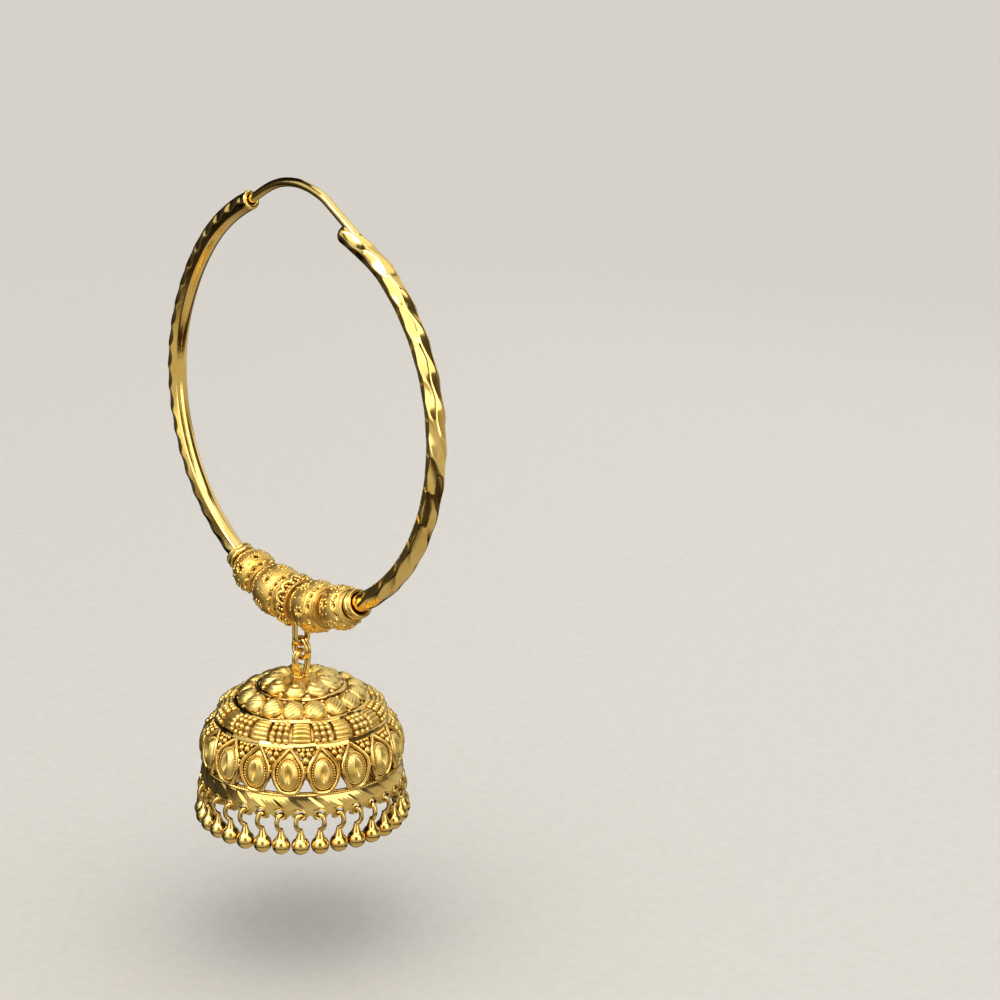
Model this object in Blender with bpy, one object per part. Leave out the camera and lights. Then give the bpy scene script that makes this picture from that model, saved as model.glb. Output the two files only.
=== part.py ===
"""A gold hoop earring with a threaded bead group and a fringed bell drop that hangs from it.

Metres, +Z up. The hoop stands in the XZ plane, its front looks along -Y, and the origin is the point of the
ear wire, on its centreline, from which the earring hangs.
"""
import math

import bmesh
import bpy
from mathutils import Vector

MM = 0.001

# Hoop: a hollow tube bent to a circle, with a thin ear wire over its gap
HOOP_RADIUS = 19.0 * MM
WIRE_RISE = 2.08 * MM
TUBE_RADIUS = 0.925 * MM
TUBE_WALL = 0.28 * MM
TUBE_SIDES = 10
BORE_SIDES = 8
FACET_PITCH = 3.3 * MM
FACET_DEPTH = 0.11 * MM
FACETED_SIDES = 2
LIP_WIDTH = 0.15 * MM
LIP_SHARE = 0.86
END_DOME = 0.75 * MM
BORE_STOP = 421.0
BORE_STEP = 9.0
WIRE_RADIUS = 0.425 * MM
WIRE_SIDES = 6
WIRE_STEP = 3.0
AIM_STEP = 0.25
PLAIN_STEPS = 4
MOUTH_ANGLE = 109.6
CLOSED_ANGLE = 430.3
HOOP_CENTRE_Z = -(HOOP_RADIUS + WIRE_RISE)

# The tube's centreline: angle from +X in degrees, radius as a share of HOOP_RADIUS
TUBE_PATH = (
    (109.6, 1.048),
    (120.0, 1.037),
    (130.0, 1.027),
    (142.0, 1.011),
    (158.0, 1.000),
    (410.0, 1.000),
    (421.0, 0.985),
    (430.3, 0.980),
)

# The ear wire's centreline past the tube: angle, rise above HOOP_RADIUS as a share of WIRE_RISE
WIRE_PATH = (
    (63.5, 0.105),
    (69.0, 0.240),
    (72.5, 0.375),
    (76.0, 0.553),
    (79.2, 0.736),
    (82.4, 0.851),
    (85.4, 0.933),
    (90.0, 1.000),
    (95.6, 0.966),
    (99.1, 0.870),
    (102.5, 0.736),
    (106.0, 0.580),
    (109.6, 0.455),
    (114.0, 0.388),
    (119.0, 0.343),
)

# Bead group, threaded on the lowest stretch of the hoop between two soldered collars
GROUP_ANGLE = 268.4
PIECE_GAP = 0.38 * MM
BORE_CLEARANCE = 0.30 * MM
BEAD_BORE = TUBE_RADIUS + BORE_CLEARANCE
LARGE_BEAD_RADIUS = 2.50 * MM
LARGE_BEAD_LENGTH = 3.75 * MM
SMALL_BEAD_RADIUS = 2.10 * MM
SMALL_BEAD_LENGTH = 3.10 * MM
BEAD_WALL = 0.30 * MM
BEAD_HOLES = 8
BEAD_HOLE_SHARE = 0.34
COLLAR_RADIUS = 1.45 * MM
COLLAR_LENGTH = 0.95 * MM

# A collar's outline from its tube side to its bead side: place along its length, and radius, as shares
COLLAR_PROFILE = ((0.02, 0.72), (0.20, 0.88), (0.50, 1.00), (0.98, 0.97))

# The tube's closed end: place along END_DOME, and radius, as shares
END_PROFILE = ((0.45, 0.86), (0.80, 0.58), (1.00, 0.20))

# A bead's outline: place along its length, and radius, both as shares
BEAD_PROFILE = (
    (-0.50, 0.62),
    (-0.43, 0.83),
    (-0.20, 1.00),
    (0.20, 1.00),
    (0.43, 0.83),
    (0.50, 0.62),
)
PIERCED_BANDS = (1, 3)

# Spacer: a flower-rimmed ring with the hanging loop under it
SPACER_RADIUS = 2.60 * MM
SPACER_LENGTH = 1.30 * MM
SPACER_PETALS = 10
LOOP_WIRE_RADIUS = 0.20 * MM
LOOP_HALF_WIDTH = 0.75 * MM
LOOP_DROP = 1.62 * MM
LOOP_ROOT = 0.35 * MM
ARC_STEPS = 8

# The spacer's outline: place along its length, radius at a petal and between two, as shares
SPACER_PROFILE = (
    (-0.50, 0.98, 0.84),
    (-0.16, 1.00, 0.86),
    (0.02, 0.80, 0.80),
    (0.18, 0.90, 0.90),
    (0.50, 0.90, 0.90),
)

# Link: a ring of doubled wire, in the XZ plane
LINK_RADIUS = 1.00 * MM
LINK_WIDTH = 0.66 * MM
LINK_THICKNESS = 0.38 * MM
LINK_SEGMENTS = 16
LINK_PLAY = 0.21 * MM

# Eye on top of the bell, in the YZ plane
EYE_WIDTH = 0.66 * MM
EYE_THICKNESS = 0.38 * MM
EYE_PLAY = 0.21 * MM
EYE_HEIGHT = 1.83 * MM
EYE_ROOT = 0.20 * MM

# Bell: a domed sheet in four raised tiers with polished rings between, a facetted rim and a lace of eyelets
BELL_RADIUS = 9.80 * MM
BELL_HEIGHT = 10.80 * MM
BELL_WALL = 0.30 * MM
RELIEF = 0.45 * MM
CROWN_DOMES = 9
SHOULDER_DOMES = 16
RIBBED_PANELS = 24
LEAVES = 18
INNER_SIDES = 24
DROP_COUNT = 33

# Where each tier's first motif starts, in degrees round from +X
CROWN_START = 9.6
SHOULDER_START = 8.1
PANEL_START = -1.9
LEAF_START = 3.0
DROP_START = -2.2

# Bell rows of the plain tiers: radius, drop, lift between motifs and on one, and whether the inside follows
CROWN_ROWS = (
    (0.133, 0.000, 0.0, 0.0, True),
    (0.204, 0.005, 0.1, 1.0, False),
    (0.286, 0.014, 0.0, 1.3, False),
    (0.378, 0.035, 0.0, 0.9, False),
    (0.429, 0.048, 0.1, 0.1, False),
    (0.449, 0.057, 0.8, 0.8, True),
    (0.474, 0.069, 0.1, 0.1, False),
)
SHOULDER_ROWS = (
    (0.480, 0.072, 0.0, 0.0, False),
    (0.520, 0.091, 0.0, 1.0, False),
    (0.571, 0.120, 0.0, 1.2, False),
    (0.617, 0.162, 0.0, 1.0, False),
    (0.648, 0.194, 0.1, 0.1, False),
    (0.663, 0.213, 0.8, 0.8, True),
    (0.684, 0.231, 0.1, 0.1, False),
)
PANEL_ROWS = (
    (0.690, 0.235, 0.0, 0.0, False),
    (0.730, 0.257, 0.3, 0.9, False),
    (0.776, 0.287, 0.3, 1.0, False),
    (0.816, 0.329, 0.3, 0.8, False),
    (0.842, 0.359, 0.1, 0.1, False),
    (0.862, 0.378, 0.7, 0.7, True),
    (0.883, 0.398, 0.1, 0.1, False),
)

# Leaf tier rows: radius, drop, lift between leaves, on a flank and on a leaf, and the flank's place in the pitch
LEAF_ROWS = (
    (0.923, 0.454, 0.5, 0.1, 0.3, 0.28),
    (0.958, 0.545, 0.2, 0.3, 1.0, 0.14),
    (0.964, 0.650, 0.0, 0.3, 0.8, 0.22),
    (0.969, 0.750, 0.1, 0.1, 0.1, 0.35),
    (0.980, 0.769, 0.5, 0.5, 0.5, 0.30),
)
PIERCED_LEAF_ROW = 2

# Rim rows: radius, drop, lift of even and odd columns
RIM_ROWS = (
    (0.985, 0.787, 0.0, 0.5),
    (1.000, 0.906, 0.5, 0.0),
)
EYELET_DROP = 0.950
NOTCH_DROP = 0.966
SCALLOP_SIDE_DROP = 0.990
SCALLOP_SIDE = 0.28
EYELET_RADIUS = 0.30 * MM
EYELET_SIDES = 6

# Fringe: a jump ring through each eyelet, with a neck and a ball under it
RING_WIRE_RADIUS = 0.16 * MM
RING_WIRE_SIDES = 5
RING_STEPS = 9
RING_START = 30.0
RING_END = 305.0
RING_HALF_WIDTH = 0.43 * MM
RING_HALF_HEIGHT = 0.72 * MM
NECK_RADIUS = 0.30 * MM
NECK_LENGTH = 1.10 * MM
NECK_FLARE = 0.6
BALL_RADIUS = 0.875 * MM
BALL_SIDES = 10
BALL_LATITUDES = (50.0, 8.0, -38.0)

SMOOTH_ANGLE = math.radians(40.0)

GOLD = (0.83, 0.57, 0.20, 1.0)
DEEP_GOLD = (0.74, 0.46, 0.13, 1.0)
BRIGHT_GOLD = (0.90, 0.66, 0.28, 1.0)


def clear_scene():
    """Removes what a new Blender file starts with."""
    for item in list(bpy.data.objects):
        bpy.data.objects.remove(item, do_unlink=True)


def metal(name, colour, roughness):
    """A plain gold alloy of one colour and finish."""
    material = bpy.data.materials.new(name)
    material.use_nodes = True
    shader = material.node_tree.nodes["Principled BSDF"]
    shader.inputs["Base Color"].default_value = colour
    shader.inputs["Metallic"].default_value = 1.0
    shader.inputs["Roughness"].default_value = roughness
    return material


def smooth_share(table, angle):
    """Reads a table of (angle, share) rows on a smooth curve through them."""
    slopes = []
    for i in range(len(table)):
        a, b = table[max(i - 1, 0)], table[min(i + 1, len(table) - 1)]
        slopes.append((b[1] - a[1]) / (b[0] - a[0]))
    i = 0
    while i < len(table) - 2 and angle > table[i + 1][0]:
        i += 1
    (x0, y0), (x1, y1) = table[i], table[i + 1]
    span = x1 - x0
    t = min(max((angle - x0) / span, 0.0), 1.0)
    keep = 2.0 * t**3 - 3.0 * t**2 + 1.0
    start_turn = t**3 - 2.0 * t**2 + t
    end_turn = t**3 - t**2
    return keep * y0 + (1.0 - keep) * y1 + span * (start_turn * slopes[i] + end_turn * slopes[i + 1])


def tube_centre(angle):
    """The tube's centreline at an angle round the hoop."""
    return on_hoop(angle, HOOP_RADIUS * smooth_share(TUBE_PATH, angle))


def wire_centre(angle):
    """The ear wire's centreline at an angle round the hoop."""
    return on_hoop(angle, HOOP_RADIUS + WIRE_RISE * smooth_share(WIRE_PATH, angle))


def on_hoop(angle, radius):
    """A point of the hoop's plane."""
    turn = math.radians(angle)
    return Vector((radius * math.cos(turn), 0.0, HOOP_CENTRE_Z + radius * math.sin(turn)))


def hoop_degrees(length):
    """The angle that a length takes up along the hoop."""
    return math.degrees(length / HOOP_RADIUS)


def section(bm, centre, along, across, half_out, half_across, sides):
    """A ring of points round a centre, half_out from it in the bend's plane and half_across to its side."""
    out = across.cross(along).normalized()
    verts = []
    for i in range(sides):
        turn = 2.0 * math.pi * i / sides
        place = centre + out * (half_out * math.cos(turn)) + across * (half_across * math.sin(turn))
        verts.append(bm.verts.new(place))
    return verts


def skin(bm, low, high):
    """Faces between two rings of equal count."""
    count = len(low)
    for i in range(count):
        j = (i + 1) % count
        bm.faces.new((low[i], low[j], high[j], high[i]))


def stitch(bm, first, second):
    """Triangles between two rings of different counts, from the second's point nearest to the first's start."""
    start = min(range(len(second)), key=lambda k: (second[k].co - first[0].co).length)
    second = second[start:] + second[:start]
    i = j = 0
    while i < len(first) or j < len(second):
        a, b = first[i % len(first)], second[j % len(second)]
        if (i + 1) * len(second) <= (j + 1) * len(first):
            bm.faces.new((a, first[(i + 1) % len(first)], b))
            i += 1
        else:
            bm.faces.new((a, second[(j + 1) % len(second)], b))
            j += 1


def join_rings(bm, first, second):
    """Faces between two rings, whatever their counts."""
    if len(first) == len(second):
        skin(bm, first, second)
    else:
        stitch(bm, first, second)


def sweep(bm, rings):
    """A closed body from a run of rings, with a flat cap at each end."""
    for low, high in zip(rings, rings[1:]):
        skin(bm, low, high)
    bm.faces.new(rings[0])
    bm.faces.new(rings[-1])


def to_object(name, bm, material, parent=None):
    """Turns a finished bmesh into a named object with its normals out and its round faces smooth."""
    bmesh.ops.recalc_face_normals(bm, faces=bm.faces)
    mesh = bpy.data.meshes.new(name)
    bm.to_mesh(mesh)
    bm.free()
    return mesh_object(name, mesh, material, parent)


def mesh_object(name, mesh, material, parent=None):
    """An object of a mesh, shaded and linked."""
    mesh.materials.clear()
    mesh.materials.append(material)
    mesh.shade_smooth()
    mesh.set_sharp_from_angle(angle=SMOOTH_ANGLE)
    item = bpy.data.objects.new(name, mesh)
    bpy.context.scene.collection.objects.link(item)
    item.parent = parent
    return item


def solder(body, piece):
    """Fuses a second solid to a body, as solder does."""
    piece.hide_render = True
    piece.display_type = "WIRE"
    joint = body.modifiers.new("solder_" + piece.name, "BOOLEAN")
    joint.operation = "UNION"
    joint.solver = "EXACT"
    joint.object = piece


def pivot(name, height, parent=None, parent_height=0.0):
    """An empty on a joint's axis, under the hoop's lowest point."""
    empty = bpy.data.objects.new(name, None)
    empty.empty_display_size = LINK_RADIUS
    empty.parent = parent
    empty.location = (0.0, 0.0, height - parent_height)
    bpy.context.scene.collection.objects.link(empty)
    return empty


def tube_rings(bm):
    """The tube's outer sections from its mouth to its closed end, with both collars swept in."""
    half_group = hoop_degrees(group_half_length())
    collar = hoop_degrees(COLLAR_LENGTH)
    zone = (GROUP_ANGLE - half_group - collar, GROUP_ANGLE + half_group + collar)
    stops = [(MOUTH_ANGLE, TUBE_RADIUS * LIP_SHARE), (MOUTH_ANGLE + hoop_degrees(LIP_WIDTH), TUBE_RADIUS)]
    half_pitch = hoop_degrees(FACET_PITCH / 2.0)
    faceted = {}
    for start, stop in ((stops[-1][0], zone[0]), (zone[1], CLOSED_ANGLE - hoop_degrees(END_DOME))):
        count = round((stop - start) / half_pitch)
        for index in range(1, count):
            angle = start + (stop - start) * index / count
            faceted[angle] = index
            stops.append((angle, TUBE_RADIUS))
        stops.append((stop, TUBE_RADIUS))
        if stop == zone[0]:
            stops.extend(collar_stops(zone[0], zone[0] + collar))
            plain = half_group * 2.0
            for index in range(1, PLAIN_STEPS):
                stops.append((zone[0] + collar + plain * index / PLAIN_STEPS, TUBE_RADIUS))
            stops.extend(reversed(collar_stops(zone[1], zone[1] - collar)))
            stops.append((zone[1], TUBE_RADIUS))
    for depth, share in END_PROFILE:
        angle = CLOSED_ANGLE - hoop_degrees(END_DOME) * (1.0 - depth)
        stops.append((angle, TUBE_RADIUS * share))
    rings = []
    for angle, radius in stops:
        rings.append(path_section(bm, tube_centre, angle, radius, TUBE_SIDES))
        if angle in faceted:
            cut_facets(rings[-1], tube_centre(angle), faceted[angle])
    return rings


def collar_stops(outer, inner):
    """A collar's outline from its tube side to its bead side: a rounded cup with a flat mouth."""
    stops = [(outer + (inner - outer) * place, COLLAR_RADIUS * share) for place, share in COLLAR_PROFILE]
    stops.append((inner, TUBE_RADIUS))
    return stops


def path_section(bm, centre, angle, radius, sides):
    """A section of a wire or tube that follows the hoop, square to its own centreline."""
    along = (centre(angle + AIM_STEP) - centre(angle - AIM_STEP)).normalized()
    return section(bm, centre(angle), along, Vector((0.0, -1.0, 0.0)), radius, radius, sides)


def cut_facets(ring, centre, index):
    """Pulls in the outer points of a tube section in turn, as a cutter leaves them."""
    for i, vert in enumerate(ring):
        from_outer = min(i, len(ring) - i)
        if from_outer <= FACETED_SIDES and (from_outer + index) % 2 == 0:
            vert.co = centre + (vert.co - centre) * (1.0 - FACET_DEPTH / TUBE_RADIUS)


def group_half_length():
    """From the middle of the spacer to a collar's mouth, along the hoop."""
    return SPACER_LENGTH / 2.0 + LARGE_BEAD_LENGTH + SMALL_BEAD_LENGTH + 3.0 * PIECE_GAP


def make_hoop(material):
    """The hollow tube with its collars, and the ear wire soldered to its closed end."""
    bm = bmesh.new()
    outer = tube_rings(bm)
    for low, high in zip(outer, outer[1:]):
        skin(bm, low, high)
    bm.faces.new(outer[-1])
    bore_radius = TUBE_RADIUS - TUBE_WALL
    steps = round((BORE_STOP - MOUTH_ANGLE) / BORE_STEP)
    bore = []
    for i in range(steps + 1):
        angle = MOUTH_ANGLE + (BORE_STOP - MOUTH_ANGLE) * i / steps
        bore.append(path_section(bm, tube_centre, angle, bore_radius, BORE_SIDES))
    stitch(bm, outer[0], bore[0])
    for low, high in zip(bore, bore[1:]):
        skin(bm, low, high)
    bm.faces.new(bore[-1])
    hoop = to_object("hoop", bm, material)

    bm = bmesh.new()
    first, last = WIRE_PATH[0][0], WIRE_PATH[-1][0]
    count = round((last - first) / WIRE_STEP)
    rings = []
    for i in range(count + 1):
        angle = first + (last - first) * i / count
        rings.append(path_section(bm, wire_centre, angle, WIRE_RADIUS, WIRE_SIDES))
    sweep(bm, rings)
    solder(hoop, to_object("ear_wire_blank", bm, material))


def seat_on_hoop(item, angle):
    """Threads a piece that was made along X on the hoop at an angle."""
    item.location = on_hoop(angle, HOOP_RADIUS)
    item.rotation_euler = (0.0, -math.radians(angle - 270.0), 0.0)


def turned_ring(bm, place, radii):
    """A ring of points round the X axis at the given turns and radii."""
    verts = []
    for turn, radius in radii:
        verts.append(bm.verts.new((place, radius * math.cos(turn), radius * math.sin(turn))))
    return verts


def make_bead(name, radius, length, angle, material):
    """A hollow bead with a row of pierced openings near each end."""
    bm = bmesh.new()
    pitch = 2.0 * math.pi / BEAD_HOLES
    turns = []
    for i in range(BEAD_HOLES):
        turns.append(i * pitch)
        turns.append((i + BEAD_HOLE_SHARE) * pitch)
    outer, inner = [], []
    last = len(BEAD_PROFILE) - 1
    for row, (place, share) in enumerate(BEAD_PROFILE):
        outer.append(turned_ring(bm, place * length, [(t, share * radius) for t in turns]))
        inside = BEAD_BORE if row in (0, last) else share * radius - BEAD_WALL
        inner.append(turned_ring(bm, place * length, [(t, inside) for t in turns]))
    skin(bm, outer[0], inner[0])
    skin(bm, outer[-1], inner[-1])
    count = len(turns)
    for band in range(last):
        for i in range(count):
            j = (i + 1) % count
            outside = (outer[band][i], outer[band][j], outer[band + 1][j], outer[band + 1][i])
            within = (inner[band][i], inner[band][j], inner[band + 1][j], inner[band + 1][i])
            if band in PIERCED_BANDS and i % 2 == 0:
                skin(bm, outside, within)
            else:
                bm.faces.new(outside)
                bm.faces.new(within)
    seat_on_hoop(to_object(name, bm, material), angle)


def make_bead_group(bead_gold, spacer_gold):
    """Two beads on each side of the spacer, spaced along the hoop by their lengths."""
    for side, sign in (("left", -1.0), ("right", 1.0)):
        arc = SPACER_LENGTH / 2.0 + PIECE_GAP + LARGE_BEAD_LENGTH / 2.0
        angle = GROUP_ANGLE + sign * hoop_degrees(arc)
        make_bead("bead_large_" + side, LARGE_BEAD_RADIUS, LARGE_BEAD_LENGTH, angle, bead_gold)
        arc += LARGE_BEAD_LENGTH / 2.0 + PIECE_GAP + SMALL_BEAD_LENGTH / 2.0
        angle = GROUP_ANGLE + sign * hoop_degrees(arc)
        make_bead("bead_small_" + side, SMALL_BEAD_RADIUS, SMALL_BEAD_LENGTH, angle, bead_gold)
    make_spacer(spacer_gold)


def make_spacer(material):
    """The flower-rimmed ring, with the loop that the drop hangs from soldered under it."""
    bm = bmesh.new()
    count = SPACER_PETALS * 2
    turns = [2.0 * math.pi * (i + 0.5) / count for i in range(count)]
    rows = []
    for place, petal, between in SPACER_PROFILE:
        radii = [(t, SPACER_RADIUS * (petal if i % 2 == 0 else between)) for i, t in enumerate(turns)]
        rows.append(turned_ring(bm, place * SPACER_LENGTH, radii))
    bore = [turned_ring(bm, end * SPACER_LENGTH, [(t, BEAD_BORE) for t in turns]) for end in (-0.5, 0.5)]
    for low, high in zip(rows, rows[1:]):
        skin(bm, low, high)
    skin(bm, rows[0], bore[0])
    skin(bm, rows[-1], bore[1])
    skin(bm, bore[0], bore[1])
    spacer = to_object("spacer", bm, material)
    seat_on_hoop(spacer, GROUP_ANGLE)
    solder(spacer, make_hanging_loop(material))


def loop_root_z():
    """Where the legs of the hanging loop end, inside the plain end of the spacer's ring."""
    plain_radius = SPACER_RADIUS * SPACER_PROFILE[-1][1]
    surface = math.sqrt(plain_radius**2 - LOOP_HALF_WIDTH**2)
    return on_hoop(GROUP_ANGLE, HOOP_RADIUS).z - surface + LOOP_ROOT


def spacer_rim_z():
    """The lowest point of the spacer's rim."""
    return HOOP_CENTRE_Z - HOOP_RADIUS - SPACER_RADIUS


def link_axis_z():
    """The middle of the hanging loop's lowest wire, about which the link swings."""
    return spacer_rim_z() - LOOP_DROP


def u_bend(half_width, height):
    """Points of an upright U in the YZ plane: down one leg, round the bottom and up the other."""
    points = [Vector((0.0, -half_width, height))]
    for i in range(ARC_STEPS + 1):
        turn = math.pi * i / ARC_STEPS
        points.append(Vector((0.0, -half_width * math.cos(turn), half_width * (1.0 - math.sin(turn)))))
    points.append(Vector((0.0, half_width, height)))
    return points


def bend_body(bm, points, half_in, half_wide, sides):
    """A wire along points of the YZ plane: half_in is its half size in that plane, half_wide along X."""
    rings = []
    for i, point in enumerate(points):
        along = (points[min(i + 1, len(points) - 1)] - points[max(i - 1, 0)]).normalized()
        rings.append(section(bm, point, along, Vector((1.0, 0.0, 0.0)), half_in, half_wide, sides))
    sweep(bm, rings)


def make_hanging_loop(material):
    """The U of wire under the spacer, its legs let into the rim."""
    bm = bmesh.new()
    points = u_bend(LOOP_HALF_WIDTH, loop_root_z() - link_axis_z())
    bend_body(bm, points, LOOP_WIRE_RADIUS, LOOP_WIRE_RADIUS, WIRE_SIDES)
    loop = to_object("hanging_loop_blank", bm, material)
    loop.location = (0.0, 0.0, link_axis_z())
    return loop


def make_link(material, parent):
    """The doubled ring between the hanging loop and the bell's eye."""
    bm = bmesh.new()
    centre_z = LOOP_WIRE_RADIUS + LINK_PLAY + LINK_THICKNESS / 2.0 - LINK_RADIUS
    rings = []
    for i in range(LINK_SEGMENTS):
        turn = 2.0 * math.pi * i / LINK_SEGMENTS + math.pi / 2.0
        out = Vector((math.cos(turn), 0.0, math.sin(turn)))
        along = Vector((-math.sin(turn), 0.0, math.cos(turn)))
        centre = Vector((0.0, 0.0, centre_z)) + out * LINK_RADIUS
        across = Vector((0.0, -1.0, 0.0))
        rings.append(section(bm, centre, along, across, LINK_THICKNESS / 2.0, LINK_WIDTH / 2.0, WIRE_SIDES))
    for i, ring in enumerate(rings):
        skin(bm, ring, rings[(i + 1) % LINK_SEGMENTS])
    to_object("drop_link", bm, material, parent)


def drop_axis_below_link_axis():
    """From the hanging loop's lowest wire to the link's lowest wire."""
    return 2.0 * LINK_RADIUS - (LOOP_WIRE_RADIUS + LINK_PLAY + LINK_THICKNESS / 2.0)


def eye_radius():
    """The eye's centreline radius, which clears the link's wire all the way round."""
    return math.hypot(LINK_WIDTH / 2.0, LINK_THICKNESS / 2.0) + EYE_PLAY + EYE_THICKNESS / 2.0


def profile_normals(rows):
    """The outward direction of a turned sheet at each row, from its neighbours."""
    normals = []
    for i in range(len(rows)):
        r0, z0 = rows[max(i - 1, 0)]
        r1, z1 = rows[min(i + 1, len(rows) - 1)]
        length = math.hypot(r1 - r0, z1 - z0)
        normals.append(((z0 - z1) / length, (r1 - r0) / length))
    return normals


def bell_profile():
    """Radius and height of every bell row, from the crown down to the rim, with the outward directions."""
    shares = []
    for table in (CROWN_ROWS, SHOULDER_ROWS, PANEL_ROWS, LEAF_ROWS, RIM_ROWS):
        shares.extend((row[0], row[1]) for row in table)
    rows = [(r * BELL_RADIUS, -EYE_HEIGHT - z * BELL_HEIGHT) for r, z in shares]
    return rows, profile_normals(rows)


def bell_ring(bm, base, normal, columns):
    """A ring of the bell: columns hold a turn and how far the metal stands out from the base there."""
    verts = []
    for turn, lift in columns:
        radius = base[0] + normal[0] * lift
        height = base[1] + normal[1] * lift
        verts.append(bm.verts.new((radius * math.cos(turn), radius * math.sin(turn), height)))
    return verts


def motif_turn(place, copies, start):
    """The turn from +X of a place counted in motifs, where the first motif begins at start degrees."""
    return 2.0 * math.pi * place / copies + math.radians(start)


def motif_columns(copies, start, between, on_motif):
    """Two columns for each motif: between two of them, and on one."""
    columns = []
    for i in range(copies):
        columns.append((motif_turn(i, copies, start), between))
        columns.append((motif_turn(i + 0.5, copies, start), on_motif))
    return columns


def leaf_columns(between, flank, crest, flank_place):
    """Four columns for each leaf."""
    columns = []
    for i in range(LEAVES):
        for place, lift in ((0.0, between), (flank_place, flank), (0.5, crest), (1.0 - flank_place, flank)):
            columns.append((motif_turn(i + place, LEAVES, LEAF_START), lift))
    return columns


def inner_columns(sides):
    """Even columns a wall's thickness inside the base."""
    return [(2.0 * math.pi * i / sides, -BELL_WALL) for i in range(sides)]


def make_upper_bell(bm, profile, normals):
    """The plain tiers: outside with its relief, inside with fewer sides. Gives the last ring of each."""
    outside = inside = None
    row = 0
    tiers = (
        (CROWN_DOMES, CROWN_START, CROWN_ROWS),
        (SHOULDER_DOMES, SHOULDER_START, SHOULDER_ROWS),
        (RIBBED_PANELS, PANEL_START, PANEL_ROWS),
    )
    for copies, start, table in tiers:
        for _, _, between, on_motif, follows in table:
            columns = motif_columns(copies, start, between * RELIEF, on_motif * RELIEF)
            ring = bell_ring(bm, profile[row], normals[row], columns)
            if outside:
                join_rings(bm, outside, ring)
            else:
                bm.faces.new(ring)
            outside = ring
            if follows:
                ring = bell_ring(bm, profile[row], normals[row], inner_columns(INNER_SIDES))
                if inside:
                    join_rings(bm, inside, ring)
                else:
                    bm.faces.new(ring)
                inside = ring
            row += 1
    return outside, inside


def make_lower_bell(bm, profile, normals, outside, inside):
    """The leaf tier, the rim and the lace: both faces share their columns, so openings go through."""
    row = len(CROWN_ROWS) + len(SHOULDER_ROWS) + len(PANEL_ROWS)
    for number, (_, _, between, flank, crest, place) in enumerate(LEAF_ROWS):
        lifts = leaf_columns(between * RELIEF, flank * RELIEF, crest * RELIEF, place)
        ring = bell_ring(bm, profile[row], normals[row], lifts)
        within = bell_ring(bm, profile[row], normals[row], [(turn, -BELL_WALL) for turn, _ in lifts])
        if number == PIERCED_LEAF_ROW + 1:
            pierce_between_leaves(bm, outside, ring, inside, within)
        else:
            join_rings(bm, outside, ring)
            join_rings(bm, inside, within)
        outside, inside = ring, within
        row += 1
    for _, _, even, odd in RIM_ROWS:
        lifts = motif_columns(DROP_COUNT, DROP_START, even * RELIEF, odd * RELIEF)
        ring = bell_ring(bm, profile[row], normals[row], lifts)
        within = bell_ring(bm, profile[row], normals[row], [(turn, -BELL_WALL) for turn, _ in lifts])
        join_rings(bm, outside, ring)
        join_rings(bm, inside, within)
        outside, inside = ring, within
        row += 1
    make_lace(bm, outside, inside)


def pierce_between_leaves(bm, high_out, low_out, high_in, low_in):
    """A row of faces with a pointed opening under each gap between two leaves."""
    count = len(high_out)
    for high, low in ((high_out, low_out), (high_in, low_in)):
        for i in range(count):
            j = (i + 1) % count
            if i % 4 == 0:
                bm.faces.new((high[i], high[j], low[j]))
            elif i % 4 == 3:
                bm.faces.new((high[i], high[j], low[i]))
            else:
                bm.faces.new((high[i], high[j], low[j], low[i]))
    for i in range(0, count, 4):
        before, after = (i - 1) % count, (i + 1) % count
        skin(
            bm,
            (high_out[i], low_out[after], low_out[i], low_out[before]),
            (high_in[i], low_in[after], low_in[i], low_in[before]),
        )


def lace_point(bm, place, drop, wall):
    """A point of the lace, which hangs straight down from the rim, its place counted in eyelets."""
    turn = motif_turn(place, DROP_COUNT, DROP_START)
    radius = BELL_RADIUS - wall
    height = -EYE_HEIGHT - drop * BELL_HEIGHT
    return bm.verts.new((radius * math.cos(turn), radius * math.sin(turn), height))


def make_lace(bm, rim_out, rim_in):
    """A scallop with a round eyelet for each fringe drop."""
    pitch = 2.0 * math.pi * BELL_RADIUS / DROP_COUNT
    for face, rim in enumerate((rim_out, rim_in)):
        wall = face * BELL_WALL
        notches = [lace_point(bm, i, NOTCH_DROP, wall) for i in range(DROP_COUNT)]
        edge = []
        holes = []
        for i in range(DROP_COUNT):
            after = (i + 1) % DROP_COUNT
            left = lace_point(bm, i + SCALLOP_SIDE, SCALLOP_SIDE_DROP, wall)
            tip = lace_point(bm, i + 0.5, 1.0, wall)
            right = lace_point(bm, i + 1.0 - SCALLOP_SIDE, SCALLOP_SIDE_DROP, wall)
            hole = []
            for k in range(EYELET_SIDES):
                turn = math.pi / 2.0 - 2.0 * math.pi * k / EYELET_SIDES
                side = i + 0.5 + EYELET_RADIUS * math.cos(turn) / pitch
                drop = EYELET_DROP - EYELET_RADIUS * math.sin(turn) / BELL_HEIGHT
                hole.append(lace_point(bm, side, drop, wall))
            border = [rim[2 * i + 1], rim[(2 * i + 2) % len(rim)], notches[after], right, tip, left]
            border += [notches[i], rim[2 * i]]
            stitch(bm, border, hole)
            edge += [notches[i], left, tip, right]
            holes.append(hole)
        if face == 0:
            edge_out, holes_out = edge, holes
    skin(bm, edge_out, edge)
    for hole_out, hole_in in zip(holes_out, holes):
        skin(bm, hole_out, hole_in)


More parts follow.
